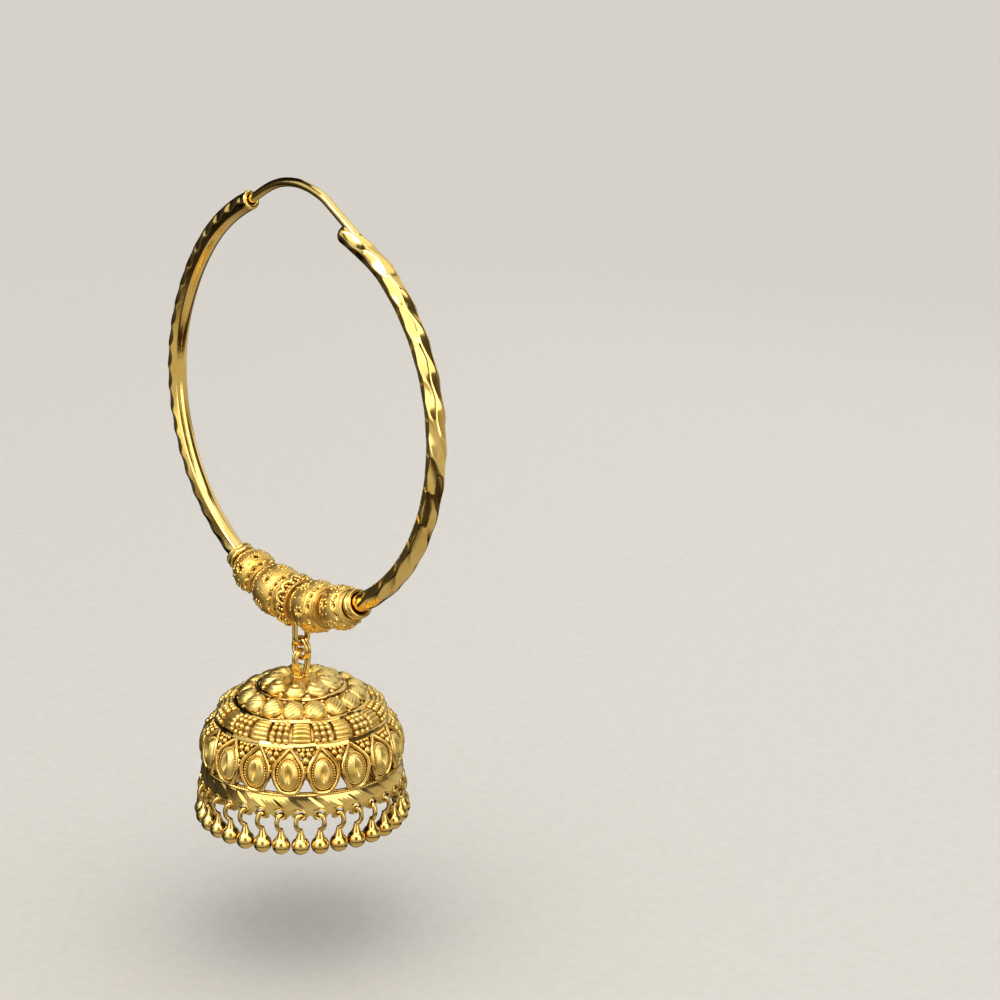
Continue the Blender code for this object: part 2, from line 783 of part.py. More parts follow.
def make_bell(material, parent):
    """The bell and, soldered to its crown, the eye that the link passes through."""
    bm = bmesh.new()
    profile, normals = bell_profile()
    outside, inside = make_upper_bell(bm, profile, normals)
    make_lower_bell(bm, profile, normals, outside, inside)
    bell = to_object("bell", bm, material, parent)

    bm = bmesh.new()
    radius = eye_radius()
    upright = u_bend(radius, radius + EYE_HEIGHT + EYE_ROOT)
    points = [Vector((0.0, p.y, radius - p.z)) for p in upright]
    bend_body(bm, points, EYE_THICKNESS / 2.0, EYE_WIDTH / 2.0, WIRE_SIDES)
    solder(bell, to_object("bell_eye_blank", bm, material, parent))


def fringe_mesh():
    """One drop, measured from its eyelet's middle: a ball whose neck runs on as a wire bent to a ring."""
    middle = -RING_HALF_HEIGHT
    foot = middle - RING_HALF_HEIGHT
    ball_z = foot - NECK_LENGTH - BALL_RADIUS * math.sin(math.radians(BALL_LATITUDES[0]))
    across = Vector((0.0, 1.0, 0.0))
    up = Vector((0.0, 0.0, 1.0))
    bm = bmesh.new()
    rings = []
    for latitude in reversed(BALL_LATITUDES):
        turn = math.radians(latitude)
        centre = Vector((0.0, 0.0, ball_z + BALL_RADIUS * math.sin(turn)))
        radius = BALL_RADIUS * math.cos(turn)
        rings.append(section(bm, centre, up, across, radius, radius, BALL_SIDES))
    for height, radius in ((foot - NECK_LENGTH * NECK_FLARE, NECK_RADIUS), (foot, RING_WIRE_RADIUS)):
        rings.append(section(bm, Vector((0.0, 0.0, height)), up, across, radius, radius, RING_WIRE_SIDES))
    for i in range(RING_STEPS):
        turn = math.radians(RING_START + (RING_END - RING_START) * i / (RING_STEPS - 1))
        centre = Vector((RING_HALF_WIDTH * math.sin(turn), 0.0, middle - RING_HALF_HEIGHT * math.cos(turn)))
        along = Vector((RING_HALF_WIDTH * math.cos(turn), 0.0, RING_HALF_HEIGHT * math.sin(turn)))
        rings.append(section(bm, centre, along, across, RING_WIRE_RADIUS, RING_WIRE_RADIUS, RING_WIRE_SIDES))
    for low, high in zip(rings, rings[1:]):
        join_rings(bm, low, high)
    bm.faces.new(rings[-1])
    bottom = bm.verts.new((0.0, 0.0, ball_z - BALL_RADIUS))
    for i in range(BALL_SIDES):
        bm.faces.new((rings[0][i], rings[0][(i + 1) % BALL_SIDES], bottom))
    bmesh.ops.recalc_face_normals(bm, faces=bm.faces)
    mesh = bpy.data.meshes.new("fringe_drop")
    bm.to_mesh(mesh)
    bm.free()
    return mesh


def make_fringe(material, parent):
    """A drop in every eyelet, each turned to face out."""
    mesh = fringe_mesh()
    radius = BELL_RADIUS - BELL_WALL / 2.0
    height = -EYE_HEIGHT - EYELET_DROP * BELL_HEIGHT
    for i in range(DROP_COUNT):
        turn = motif_turn(i + 0.5, DROP_COUNT, DROP_START)
        drop = mesh_object("fringe_drop_%02d" % (i + 1), mesh, material, parent)
        drop.location = (radius * math.cos(turn), radius * math.sin(turn), height)
        drop.rotation_euler = (0.0, 0.0, turn)


def main():
    clear_scene()
    hoop_gold = metal("diamond_cut_gold", BRIGHT_GOLD, 0.16)
    bead_gold = metal("granulated_bead_gold", DEEP_GOLD, 0.42)
    spacer_gold = metal("spacer_gold", GOLD, 0.34)
    wire_gold = metal("link_wire_gold", GOLD, 0.28)
    bell_gold = metal("chased_bell_gold", GOLD, 0.36)
    fringe_gold = metal("fringe_ball_gold", GOLD, 0.24)
    make_hoop(hoop_gold)
    make_bead_group(bead_gold, spacer_gold)
    link_pivot = pivot("link_pivot", link_axis_z())
    drop_axis = link_axis_z() - drop_axis_below_link_axis()
    drop_pivot = pivot("drop_pivot", drop_axis, link_pivot, link_axis_z())
    make_link(wire_gold, link_pivot)
    make_bell(bell_gold, drop_pivot)
    make_fringe(fringe_gold, drop_pivot)


main()
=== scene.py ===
"""Looks for a gold hoop earring.

A diamond-cut hoop carries pierced beads and a flower spacer, and a chased bell with a fringe hangs from it.
Sizes are in millimetres and angles in degrees, apart from the turns on bell and beads, in radians.
"""
import math
import random

import bmesh
import bpy
from mathutils import Matrix, Vector


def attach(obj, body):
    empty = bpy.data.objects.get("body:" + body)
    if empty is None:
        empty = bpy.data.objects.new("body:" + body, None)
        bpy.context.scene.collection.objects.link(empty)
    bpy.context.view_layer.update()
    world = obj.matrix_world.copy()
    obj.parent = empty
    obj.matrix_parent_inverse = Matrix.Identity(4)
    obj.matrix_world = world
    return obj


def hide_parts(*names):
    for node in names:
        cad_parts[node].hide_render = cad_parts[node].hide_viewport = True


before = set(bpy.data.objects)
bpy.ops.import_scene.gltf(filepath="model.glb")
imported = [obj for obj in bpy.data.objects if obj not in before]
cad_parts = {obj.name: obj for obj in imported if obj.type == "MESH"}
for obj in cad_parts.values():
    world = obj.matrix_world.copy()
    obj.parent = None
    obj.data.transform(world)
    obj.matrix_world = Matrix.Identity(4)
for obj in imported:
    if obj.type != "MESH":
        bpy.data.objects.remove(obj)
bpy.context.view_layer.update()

MM = 0.001
FRONT = Vector((0.0, -1.0, 0.0))
ACROSS = Vector((1.0, 0.0, 0.0))

# The finishes of a piece's faces: its own skin, polished, painted dark brown inside as shade, and
# diamond-cut
BODY, BRIGHT, SHADED_INSIDE, CUT = range(4)

# The hoop's circle and its tube and wire, as in the frame
HOOP_RADIUS = 19.0
HOOP_CENTRE_Z = -21.08
TUBE_RADIUS = 0.925
WIRE_RISE = 2.08
WIRE_RADIUS = 0.425
MOUTH_ANGLE = 109.6
CLOSED_ANGLE = 430.3
END_DOME = 0.75
TUBE_SIDES = 60
TUBE_ROW_STEP = 0.12
LIP_LENGTH = 0.22
MOUTH_LIP = (
    (1.60, 0.42), (0.50, 0.44), (0.14, 0.47), (0.02, 0.55),
    (-0.02, 0.68), (0.00, 0.82), (0.10, 0.91),
)
TUBE_PATH = (
    (109.6, 1.048), (120.0, 1.037), (130.0, 1.027), (142.0, 1.011),
    (158.0, 1.000), (410.0, 1.000), (421.0, 0.985), (430.3, 0.980),
)
WIRE_PATH = (
    (63.5, 0.105), (69.0, 0.240), (72.5, 0.375), (76.0, 0.553),
    (79.2, 0.736), (82.4, 0.851), (85.4, 0.933), (90.0, 1.000),
    (95.6, 0.966), (99.1, 0.870), (102.5, 0.736), (106.0, 0.580),
    (109.6, 0.455), (114.0, 0.388), (119.0, 0.343),
)

# Beads, spacer and collars on the hoop's lowest stretch
GROUP_ANGLE = 268.4
PIECE_GAP = 0.38
BEAD_BORE = 1.225
LARGE_BEAD = (2.50, 3.75)
SMALL_BEAD = (2.10, 3.10)
COLLAR_RADIUS = 1.45
COLLAR_LENGTH = 0.95
COLLAR_PROFILE = (
    (0.00, 0.95), (0.00, 1.30), (0.10, 1.42), (0.28, COLLAR_RADIUS),
    (0.48, 1.40), (0.54, 1.30), (0.60, 1.26), (0.64, 1.34),
    (0.74, 1.42), (0.86, 1.40), (0.95, 1.26), (0.93, 1.12),
    (0.80, 1.02), (0.55, 0.96), (0.45, 0.90),
)
SPACER_RADIUS = 2.60
SPACER_LENGTH = 1.30
SPACER_PETALS = 12
SPACER_PROFILE = (
    (-0.64, 0.90), (-0.55, 1.00), (-0.20, 1.02), (0.10, 0.96),
    (0.20, 0.92), (0.34, 0.95), (0.50, 1.04), (0.60, 1.05),
    (0.64, 0.98),
)

# Hanging loop, link and eye
LINK_AXIS_Z = -44.30
LINK_CENTRE_Z = -44.70
DROP_AXIS_Z = -45.70
PLATE_Z = -47.53
LOOP_HALF_WIDTH = 0.75
LINK_RADIUS = 1.00
EYE_RADIUS = 0.781
EYE_FOOT = 0.42

# Bell: its bare sheet's radius and drop from the crown, and where each tier's first motif starts
BELL_RADIUS = 9.80
BELL_HEIGHT = 10.80
BELL_WALL = 0.30
CROWN_DOMES = 9
SHOULDER_DOMES = 16
RIBBED_PANELS = 24
LEAVES = 18
DROPS = 33
CROWN_START = 9.6
SHOULDER_START = 8.1
PANEL_START = -1.9
LEAF_START = 3.0
DROP_START = -2.2
BELL_PROFILE = (
    (0.00, 0.06), (1.30, 0.12), (2.20, 0.26), (3.00, 0.50),
    (3.60, 0.80), (4.00, 1.06), (4.35, 1.17), (5.00, 1.40),
    (5.60, 1.80), (6.00, 2.20), (6.18, 2.46), (6.50, 2.62),
    (7.10, 2.92), (7.60, 3.32), (7.85, 3.80), (7.96, 4.14),
    (8.25, 4.40), (8.75, 4.90), (9.22, 5.70), (9.42, 6.70),
    (9.42, 7.70), (9.36, 8.40), (9.52, 8.62), (9.76, 9.60),
    (9.80, 9.90), (9.80, 10.80),
)
FIRST_RING_DROP = 1.06
SECOND_RING_DROP = 2.46
THIRD_RING_DROP = 4.14
SERRATED_DROP = 8.38
RIM_TOP_DROP = 8.58
RIM_FOOT_DROP = 9.78
EYELET_DROP = 10.24
EYELET_RADIUS = 0.40

# Fringe
RING_WIRE = 0.235
RING_HALF_WIDTH = 0.50
RING_HALF_HEIGHT = 0.76
RING_TOP = -0.12
HOOK_START = 6.0
HOOK_END = 252.0
NECK_PROFILE = (
    (0.10, 0.20), (-0.12, 0.25), (-0.34, 0.30), (-0.54, 0.37),
    (-0.70, 0.44),
)
BALL_RADIUS = 0.875
BALL_CENTRE = -3.21
# The turn on the bell from which the drops lean one way or the other
FRINGE_PART = math.radians(-38.0)

# Patches of warmer gold, and the floor board's fibres, drawn coarse enough to show
TONE_PATCH = 2.381
BOARD_FIBRE = 1.111

# The lights look at one point: name, place, width and height, radiance and colour
LIT_MIDDLE = Vector((0.0, 0.0, -35.0))
SOFT_LIGHTS = (
    ("front_right", (232.0, 5.0, 75.0), (210.0, 290.0), 1.75, "#FFFFFF"),
    ("front_left", (30.0, -236.0, 62.0), (220.0, 270.0), 1.45, "#FFFFFF"),
    ("front_top", (112.0, -108.0, 195.0), (190.0, 150.0), 2.20, "#FFFFFF"),
    ("left_wall", (-160.0, -185.0, 95.0), (130.0, 200.0), 0.70, "#FFFFFF"),
    ("back_wall", (-80.0, 240.0, 100.0), (300.0, 280.0), 0.70, "#FFFFFF"),
    ("top", (0.0, 40.0, 235.0), (260.0, 260.0), 1.15, "#FFFFFF"),
    ("key", (-30.0, -150.0, 150.0), (88.0, 88.0), 10.0, "#FFFBF2"),
)
# What the metal mirrors where no light is: from straight below (0) to straight above (1)
HORIZON_GLOW = (
    (0.155, "#B9B1A2"), (0.20, "#2E2318"), (0.27, "#3A2E22"), (0.33, "#CFC9BC"),
    (0.48, "#B4AC9E"), (0.62, "#4A443B"),
)


class Shape:
    """Points and faces gathered for one piece, each face with the number of its finish."""

    def __init__(self):
        self.points = []
        self.faces = []
        self.finishes = []

    def add(self, points, faces, finish=BODY):
        first = len(self.points)
        self.points.extend(points)
        for face in faces:
            self.faces.append([first + i for i in face])
        self.finishes.extend([finish] * len(faces))


def linear(hex_colour):
    """A colour written as sRGB hex, in the linear light that shaders use."""
    parts = []
    for i in (1, 3, 5):
        value = int(hex_colour[i : i + 2], 16) / 255.0
        parts.append(value / 12.92 if value <= 0.04045 else ((value + 0.055) / 1.055) ** 2.4)
    return (*parts, 1.0)


def add_node(tree, kind, values=None, links=None, stops=()):
    """Adds a shader node with its values, its joined inputs and a ramp's (position, colour) stops."""
    made = tree.nodes.new(kind)
    for name, value in (values or {}).items():
        if isinstance(name, str) and hasattr(made, name):
            setattr(made, name, value)
        else:
            made.inputs[name].default_value = value
    for name, source in (links or {}).items():
        tree.links.new(source, made.inputs[name])
    for i, (position, colour) in enumerate(stops):
        steps = made.color_ramp.elements
        if i > 1:
            steps.new(position)
        steps[i].position = position
        steps[i].color = linear(colour)
    return made


def empty_material(name):
    """A new material and its node tree, still without nodes."""
    material = bpy.data.materials.new(name)
    material.use_nodes = True
    material.node_tree.nodes.clear()
    return material, material.node_tree


def gold(name, pale, deep, roughness, grain, grain_depth):
    """22 karat gold: a warm metal whose tone, polish and skin vary a little from place to place.

    grain is the width of the skin's grains and grain_depth their depth, both in millimetres.
    """
    material, tree = empty_material(name)
    place = add_node(tree, "ShaderNodeTexCoord").outputs["Object"]
    patches = {"Scale": 1.0 / (TONE_PATCH * MM), "Detail": 4.0, "Roughness": 0.6}
    tone = add_node(tree, "ShaderNodeTexNoise", patches, {"Vector": place}).outputs["Fac"]
    tones = ((0.32, deep), (0.62, pale))
    colour = add_node(tree, "ShaderNodeValToRGB", {}, {"Fac": tone}, tones).outputs["Color"]
    # Hollows are painted darker and browner by how open they are: painted shade in creases, with a brown
    # film that polishing doesn't reach
    reach = {"samples": 6, "Distance": 0.45 * MM}
    openness = add_node(tree, "ShaderNodeAmbientOcclusion", reach).outputs["AO"]
    brown = ((0.14, "#9A5A22"), (0.66, "#FFFFFF"))
    shade_and_film = add_node(tree, "ShaderNodeValToRGB", {}, {"Fac": openness}, brown).outputs["Color"]
    shaded_and_filmed = add_node(tree, "ShaderNodeVectorMath", {"operation": "MULTIPLY"}, {0: colour, 1: shade_and_film})
    # The polish goes with the tone, from four fifths to five quarters of the given roughness
    spread = {"From Min": 0.3, "From Max": 0.7, "To Min": roughness * 0.8, "To Max": roughness * 1.25}
    polish = add_node(tree, "ShaderNodeMapRange", spread, {"Value": tone})
    grains = {"Scale": 1.0 / (grain * MM), "Detail": 3.0, "Roughness": 0.65}
    skin = add_node(tree, "ShaderNodeTexNoise", grains, {"Vector": place}).outputs["Fac"]
    depth = {"Strength": 1.0, "Distance": grain_depth * MM}
    bump = add_node(tree, "ShaderNodeBump", depth, {"Height": skin})
    joined = {
        "Base Color": shaded_and_filmed.outputs["Vector"],
        "Roughness": polish.outputs["Result"],
        "Normal": bump.outputs["Normal"],
    }
    shader = add_node(tree, "ShaderNodeBsdfPrincipled", {"Metallic": 1.0}, joined)
    add_node(tree, "ShaderNodeOutputMaterial", {}, {"Surface": shader.outputs["BSDF"]})
    return material


def smooth_share(table, angle):
    """Reads a table of (angle, share) rows on a smooth curve through them."""
    slopes = []
    for i in range(len(table)):
        a, b = table[max(i - 1, 0)], table[min(i + 1, len(table) - 1)]
        slopes.append((b[1] - a[1]) / (b[0] - a[0]))
    i = 0
    while i < len(table) - 2 and angle > table[i + 1][0]:
        i += 1
    (x0, y0), (x1, y1) = table[i], table[i + 1]
    span = x1 - x0
    t = min(max((angle - x0) / span, 0.0), 1.0)
    keep = 2.0 * t**3 - 3.0 * t**2 + 1.0
    return (
        keep * y0
        + (1.0 - keep) * y1
        + span * ((t**3 - 2.0 * t**2 + t) * slopes[i] + (t**3 - t**2) * slopes[i + 1])
    )


def on_hoop(angle, radius):
    """A point of the hoop's plane."""
    turn = math.radians(angle)
    return Vector((radius * math.cos(turn), 0.0, HOOP_CENTRE_Z + radius * math.sin(turn)))


def tube_centre(angle):
    """The middle of the tube at an angle."""
    return on_hoop(angle, HOOP_RADIUS * smooth_share(TUBE_PATH, angle))


def wire_centre(angle):
    """The middle of the ear wire at an angle."""
    return on_hoop(angle, HOOP_RADIUS + WIRE_RISE * smooth_share(WIRE_PATH, angle))


def hoop_degrees(length):
    """The angle that a length takes up on the hoop."""
    return math.degrees(length / HOOP_RADIUS)


def table_value(table, place):
    """Reads a table of (place, value) rows along straight lines."""
    for (x0, y0), (x1, y1) in zip(table, table[1:]):
        if place <= x1:
            return y0 + (y1 - y0) * min(max((place - x0) / (x1 - x0), 0.0), 1.0)
    return table[-1][1]


def turns(count):
    """Even turns once round, from nothing."""
    return [2.0 * math.pi * k / count for k in range(count)]


def about_z(radius, turn, height):
    """A point at a radius and a turn about the Z axis."""
    return Vector((radius * math.cos(turn), radius * math.sin(turn), height))


def about_x(place, radius, turn):
    """A point at a radius and a turn about the X axis."""
    return Vector((place, radius * math.cos(turn), radius * math.sin(turn)))


def grid_faces(rows, columns, around=True, looped=False):
    """Faces between rows of points: around joins the last column to the first, looped the last row."""
    faces = []
    for i in range(rows if looped else rows - 1):
        below = (i + 1) % rows * columns
        for j in range(columns if around else columns - 1):
            k = (j + 1) % columns
            faces.append((i * columns + j, i * columns + k, below + k, below + j))
    return faces


def wire(shape, centres, half_sizes, up, sides=8, closed=False, finish=BODY):
    """A wire along points: half its thickness along up, one direction or many, and half its width."""
    count = len(centres)
    thick, wide = half_sizes
    points = []
    for i, centre in enumerate(centres):
        before = centres[i - 1] if closed or i else centre
        after = centres[(i + 1) % count] if closed or i < count - 1 else centre
        along = (after - before).normalized()
        lift = up[i] if isinstance(up, list) else up
        across = along.cross(lift).normalized()
        lift = across.cross(along)
        for turn in turns(sides):
            points.append(centre + lift * (thick * math.cos(turn)) + across * (wide * math.sin(turn)))
    faces = grid_faces(count, sides, looped=closed)
    if not closed:
        faces.append(tuple(range(sides)))
        faces.append(tuple((count - 1) * sides + k for k in range(sides)))
    shape.add(points, faces, finish)


def unit_ball(detail):
    """The points and faces of a small round ball."""
    bm = bmesh.new()
    bmesh.ops.create_icosphere(bm, subdivisions=detail, radius=1.0)
    points = [v.co.copy() for v in bm.verts]
    faces = [tuple(v.index for v in f.verts) for f in bm.faces]
    bm.free()
    return points, faces


GRANULE = unit_ball(2)


def granule(shape, centre, radius, finish=BODY):
    """A small soldered ball."""
    shape.add([centre + p * radius for p in GRANULE[0]], GRANULE[1], finish)


def turned(shape, rows, sides):
    """A body turned about X from (place, radius) rows."""
    points = [about_x(place, radius, turn) for place, radius in rows for turn in turns(sides)]
    shape.add(points, grid_faces(len(rows), sides))


def make_mesh(name, shape, materials):
    """A smooth mesh of a gathered shape, with its faces turned outward."""
    mesh = bpy.data.meshes.new(name)
    mesh.from_pydata([p * MM for p in shape.points], [], shape.faces)
    for material in materials:
        mesh.materials.append(material)
    mesh.polygons.foreach_set("material_index", shape.finishes)
    bm = bmesh.new()
    bm.from_mesh(mesh)
    bmesh.ops.recalc_face_normals(bm, faces=bm.faces)
    bm.to_mesh(mesh)
    bm.free()
    mesh.shade_smooth()
    return mesh


def place_object(name, data):
    """An object of a mesh, a light or a camera, put in the scene."""
    made = bpy.data.objects.new(name, data)
    bpy.context.scene.collection.objects.link(made)
    return made


def make_piece(name, shape, materials, body, nodes, sharp=None):
    """Turns a gathered shape into a piece that rides on a body and stands for CAD nodes."""
    mesh = make_mesh(name, shape, materials)
    if sharp:
        mesh.set_sharp_from_angle(angle=math.radians(sharp))
    dress(name, mesh, body, nodes)


def dress(name, mesh, body, nodes):
    """An object of a mesh that rides on a body and stands for CAD nodes."""
    piece = place_object(name, mesh)
    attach(piece, body)
    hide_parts(*nodes)
    return piece


# The hoop's rows of cuts: where round the tube a row sits (0 is outward, 90 is the front), its pitch,
# where in the pitch it starts, its depth, its lean in degrees a millimetre, and a cut's share of the pitch
LEFT_CUTS = (
    (68.0, 2.15, 0.0, 0.19, 13.0, 0.47),
    (-62.0, 2.15, 0.5, 0.18, 13.0, 0.47),
    (8.0, 2.15, 0.25, 0.07, 0.0, 0.52),
)
RIGHT_CUTS = (
    (2.0, 3.3, 0.0, 0.12, 9.0, 0.52),
    (58.0, 3.3, 0.5, 0.13, 9.0, 0.52),
    (112.0, 3.3, 0.0, 0.12, 9.0, 0.52),
    (-56.0, 3.3, 0.5, 0.13, 9.0, 0.52),
)
# Plain flats along the left half: where round the tube, and how deep
LEFT_FLATS = ((112.0, 0.080), (-112.0, 0.080), (152.0, 0.020), (-152.0, 0.020))


def cut_radius(cuts, flats, arc, round_turn):
    """The tube's radius where its cutter has passed: a facet is a flat lens that runs out at both ends."""
    radius = TUBE_RADIUS
    for middle, depth in flats:
        slope = math.cos(math.radians(round_turn - middle))
        if slope > 0.5:
            radius = min(radius, (TUBE_RADIUS - depth) / slope)
    for middle, pitch, offset, depth, lean, part in cuts:
        nearest = round(arc / pitch - offset)
        along = arc - (nearest + offset) * pitch
        share = along / (pitch * part)
        flat = TUBE_RADIUS - depth * (1.0 - share * share)
        slope = math.cos(math.radians(round_turn - middle - lean * along))
        if slope > 0.5:
            radius = min(radius, flat / slope)
    return radius


def tube_section(angle, radius_at):
    """Points round the tube at an angle; radius_at gives the radius at -180 to 180 degrees round it."""
    centre = tube_centre(angle)
    along = (tube_centre(angle + 0.1) - tube_centre(angle - 0.1)).normalized()
    out = along.cross(FRONT).normalized()
    if out.dot(centre - on_hoop(0.0, 0.0)) < 0.0:
        out = -out
    points = []
    for k in range(TUBE_SIDES):
        turn = 360.0 * k / TUBE_SIDES
        radius = radius_at(turn if turn <= 180.0 else turn - 360.0)
        turn = math.radians(turn)
        points.append(centre + (out * math.cos(turn) + FRONT * math.sin(turn)) * radius)
    return points


def hoop_tube(shape, left_end, right_end):
    """The tube: down the bore, over the rolled lip and along the cut outside to the closed round end."""
    points = []
    for step, radius in MOUTH_LIP:
        points += tube_section(MOUTH_ANGLE + hoop_degrees(step), lambda _: radius)
    step = hoop_degrees(TUBE_ROW_STEP)
    angle = MOUTH_ANGLE + hoop_degrees(LIP_LENGTH)
    stop = CLOSED_ANGLE - hoop_degrees(END_DOME)
    while angle < stop:
        arc = math.radians(angle - MOUTH_ANGLE) * HOOP_RADIUS
        cuts, flats, ease = (), (), 1.0
        # The cuts run out over a few degrees at the ends of each half
        if angle < left_end:
            cuts, flats = LEFT_CUTS, LEFT_FLATS
            ease = min((angle - MOUTH_ANGLE) / 3.0, (left_end - angle) / 2.0, 1.0)
        elif angle > right_end:
            cuts = RIGHT_CUTS
            ease = min((angle - right_end) / 2.0, (stop - angle) / 4.0, 1.0)

        def cut_at(turn):
            return TUBE_RADIUS - ease * (TUBE_RADIUS - cut_radius(cuts, flats, arc, turn))

        points += tube_section(angle, cut_at)
        angle += step
    for i in range(9):
        turn = math.pi / 2.0 * i / 8.0
        angle = stop + hoop_degrees(END_DOME * math.sin(turn))
        points += tube_section(angle, lambda _: max(TUBE_RADIUS * math.cos(turn), 0.02))
    shape.add(points, grid_faces(len(points) // TUBE_SIDES, TUBE_SIDES))


def ear_wire(shape):
    """The thin wire soldered into the closed end, which slips into the mouth."""
    first, last = WIRE_PATH[0][0], WIRE_PATH[-1][0]
    count = 90
    centres = [wire_centre(first + (last - first) * i / count) for i in range(count + 1)]
    wire(shape, centres, (WIRE_RADIUS, WIRE_RADIUS), FRONT, sides=20)


def make_hoop(polished, cut):
    """The diamond-cut tube with its ear wire and the two collars that hold the beads."""
    shape = Shape()
    half_beads = SPACER_LENGTH / 2.0 + LARGE_BEAD[1] + SMALL_BEAD[1] + 3.0 * PIECE_GAP
    half_group = hoop_degrees(half_beads)
    collar = hoop_degrees(COLLAR_LENGTH)
    left_end = GROUP_ANGLE - half_group - collar
    right_end = GROUP_ANGLE + half_group + collar
    hoop_tube(shape, left_end, right_end)
    ear_wire(shape)
    for mouth, away in ((left_end + collar, -1.0), (right_end - collar, 1.0)):
        points = []
        for place, radius in COLLAR_PROFILE:
            points += tube_section(mouth + away * hoop_degrees(place), lambda _: radius)
        shape.add(points, grid_faces(len(COLLAR_PROFILE), TUBE_SIDES), BRIGHT)
    make_piece("hoop_cut_tube", shape, [cut, polished], "hoop", ["hoop"])


def seat_on_hoop(shape, angle):
    """Threads a shape that was made along X on the hoop at an angle."""
    turn = -math.radians(angle - 270.0)
    seat = on_hoop(angle, HOOP_RADIUS)
    c, s = math.cos(turn), math.sin(turn)
    shape.points = [Vector((p.x * c + p.z * s, p.y, -p.x * s + p.z * c)) + seat for p in shape.points]


BEAD_PROFILE = (
    (-0.50, 0.50), (-0.48, 0.62), (-0.45, 0.71), (-0.40, 0.80),
    (-0.33, 0.885), (-0.24, 0.95), (-0.12, 0.99), (0.00, 1.00),
    (0.12, 0.99), (0.24, 0.95), (0.33, 0.885), (0.40, 0.80),
    (0.45, 0.71), (0.48, 0.62), (0.50, 0.50),
)
BEAD_HOLES = 12
BEAD_EDGE = 0.05
HOLE_PLACE = -0.33


def bead_flowers(draw, seed):
    """Where the six granule flowers sit on a bead, as (turn, place) rows."""
    flowers = []
    for i in range(6):
        turn = 2.0 * math.pi * (i + draw.uniform(-0.08, 0.08)) / 6.0 + seed * 0.7
        flowers.append((turn, draw.uniform(-0.03, 0.03) + (0.05 if i % 2 else -0.04)))
    return flowers


def dent(reach, depth, steepness):
    """How far a dent goes in; reach is nothing at its middle and 1 at its rim."""
    return depth * min(max(1.0 - reach, 0.0) * steepness, 1.0)


def bead_skin(size, place, turn, flowers):
    """A bead's bare radius at a place and a turn, and how far its holes and dents go in there."""
    radius, length = size
    skin = max(radius * table_value(BEAD_PROFILE, place), BEAD_BORE + BEAD_EDGE)
    nearest = round(turn / (2.0 * math.pi) * BEAD_HOLES - 0.5) + 0.5
    across = (turn - nearest * 2.0 * math.pi / BEAD_HOLES) * skin
    depth = dent(math.hypot(across / 0.32, (place - HOLE_PLACE) * length / 0.20), 0.55, 4.0)
    depth += dent(math.hypot(across / 0.24, (place + HOLE_PLACE) * length / 0.14), 0.34, 3.0)
    for at, where in flowers:
        away = (turn - at + math.pi) % (2.0 * math.pi) - math.pi
        depth += dent(math.hypot(away * radius, (place - where) * length) / 0.27, 0.42, 3.0)
    return skin, depth


def bead_studs(shape, size, flowers, draw):
    """The granules of a bead: between its holes, along its other end, in flowers and between those."""
    radius, length = size

    def stud(turn, place, stud_radius, proud):
        height = radius * table_value(BEAD_PROFILE, place) + stud_radius * proud
        granule(shape, about_x(place * length, height, turn), stud_radius, BRIGHT)

    for turn in turns(BEAD_HOLES):
        stud(turn, HOLE_PLACE, 0.16, -0.35)
        stud(turn, -HOLE_PLACE - 0.02, 0.20, -0.25)
    for at, where in flowers:
        for turn in turns(7):
            place = where + 0.44 * math.sin(turn) / length
            stud(at + 0.44 * math.cos(turn) / radius, place, 0.175, -0.35)
        for side in (-1.0, 1.0):
            turn = at + math.pi / 6.0 + draw.uniform(-0.05, 0.05)
            stud(turn, where + side * 0.10, 0.15, -0.4)


def make_bead(name, size, angle, finishes, seed):
    """A hollow satin bead: oval holes round its left end, granules round its right end, and flowers."""
    shape = Shape()
    radius, length = size
    draw = random.Random(seed)
    sides, rows = 108, 60
    flowers = bead_flowers(draw, seed)
    points = []
    depths = []
    for i in range(rows + 1):
        place = -0.5 + i / rows
        for turn in turns(sides):
            skin, depth = bead_skin(size, place, turn, flowers)
            points.append(about_x(place * length, skin - depth, turn))
            depths.append(depth)
    faces = grid_faces(rows + 1, sides)
    shape.add(points, faces)
    # The floors of the holes and dents get the dark brown gold: painted shade
    shape.finishes = [SHADED_INSIDE if sum(depths[k] for k in face) > 0.9 else BODY for face in faces]
    # The bore, seen past the ends
    half, rim = length / 2.0, BEAD_BORE + BEAD_EDGE
    turned(shape, [(-half, rim), (-half, BEAD_BORE), (half, BEAD_BORE)], sides)
    turned(shape, [(half, BEAD_BORE), (half, rim)], sides)
    bead_studs(shape, size, flowers, draw)
    # A fine wire round each end
    for side in (-1.0, 1.0):
        centres = [about_x(side * 0.44 * length, radius * 0.755, turn) for turn in turns(48)]
        ups = [about_x(0.0, 1.0, turn) for turn in turns(48)]
        wire(shape, centres, (0.085, 0.085), ups, closed=True, finish=BRIGHT)
    seat_on_hoop(shape, angle)
    make_piece(name + "_granulated", shape, finishes, "hoop", [name])


def spacer_petals(shape, core):
    """Looped wire petals round the spacer's left rim, and granules in and between them."""
    half = math.pi / SPACER_PETALS
    for i in range(SPACER_PETALS):
        middle = 2.0 * math.pi * (i + 0.25) / SPACER_PETALS
        centres = []
        for k in range(17):
            t = -1.0 + k / 8.0
            turn = middle + half * t * (0.80 + 0.20 * t * t)
            out = math.sqrt(max(1.0 - t * t, 0.0))
            radius = core + 0.05 + (SPACER_RADIUS - 0.22 - core) * out
            centres.append(about_x(0.24 - 0.52 * out, radius, turn))
        wire(shape, centres, (0.21, 0.21), ACROSS, sides=12, finish=BRIGHT)
        granule(shape, about_x(0.02, core + 0.12, middle), 0.17, BRIGHT)
        for turn in (middle, middle + half):
            granule(shape, about_x(0.44, core + 0.14, turn), 0.20, BRIGHT)


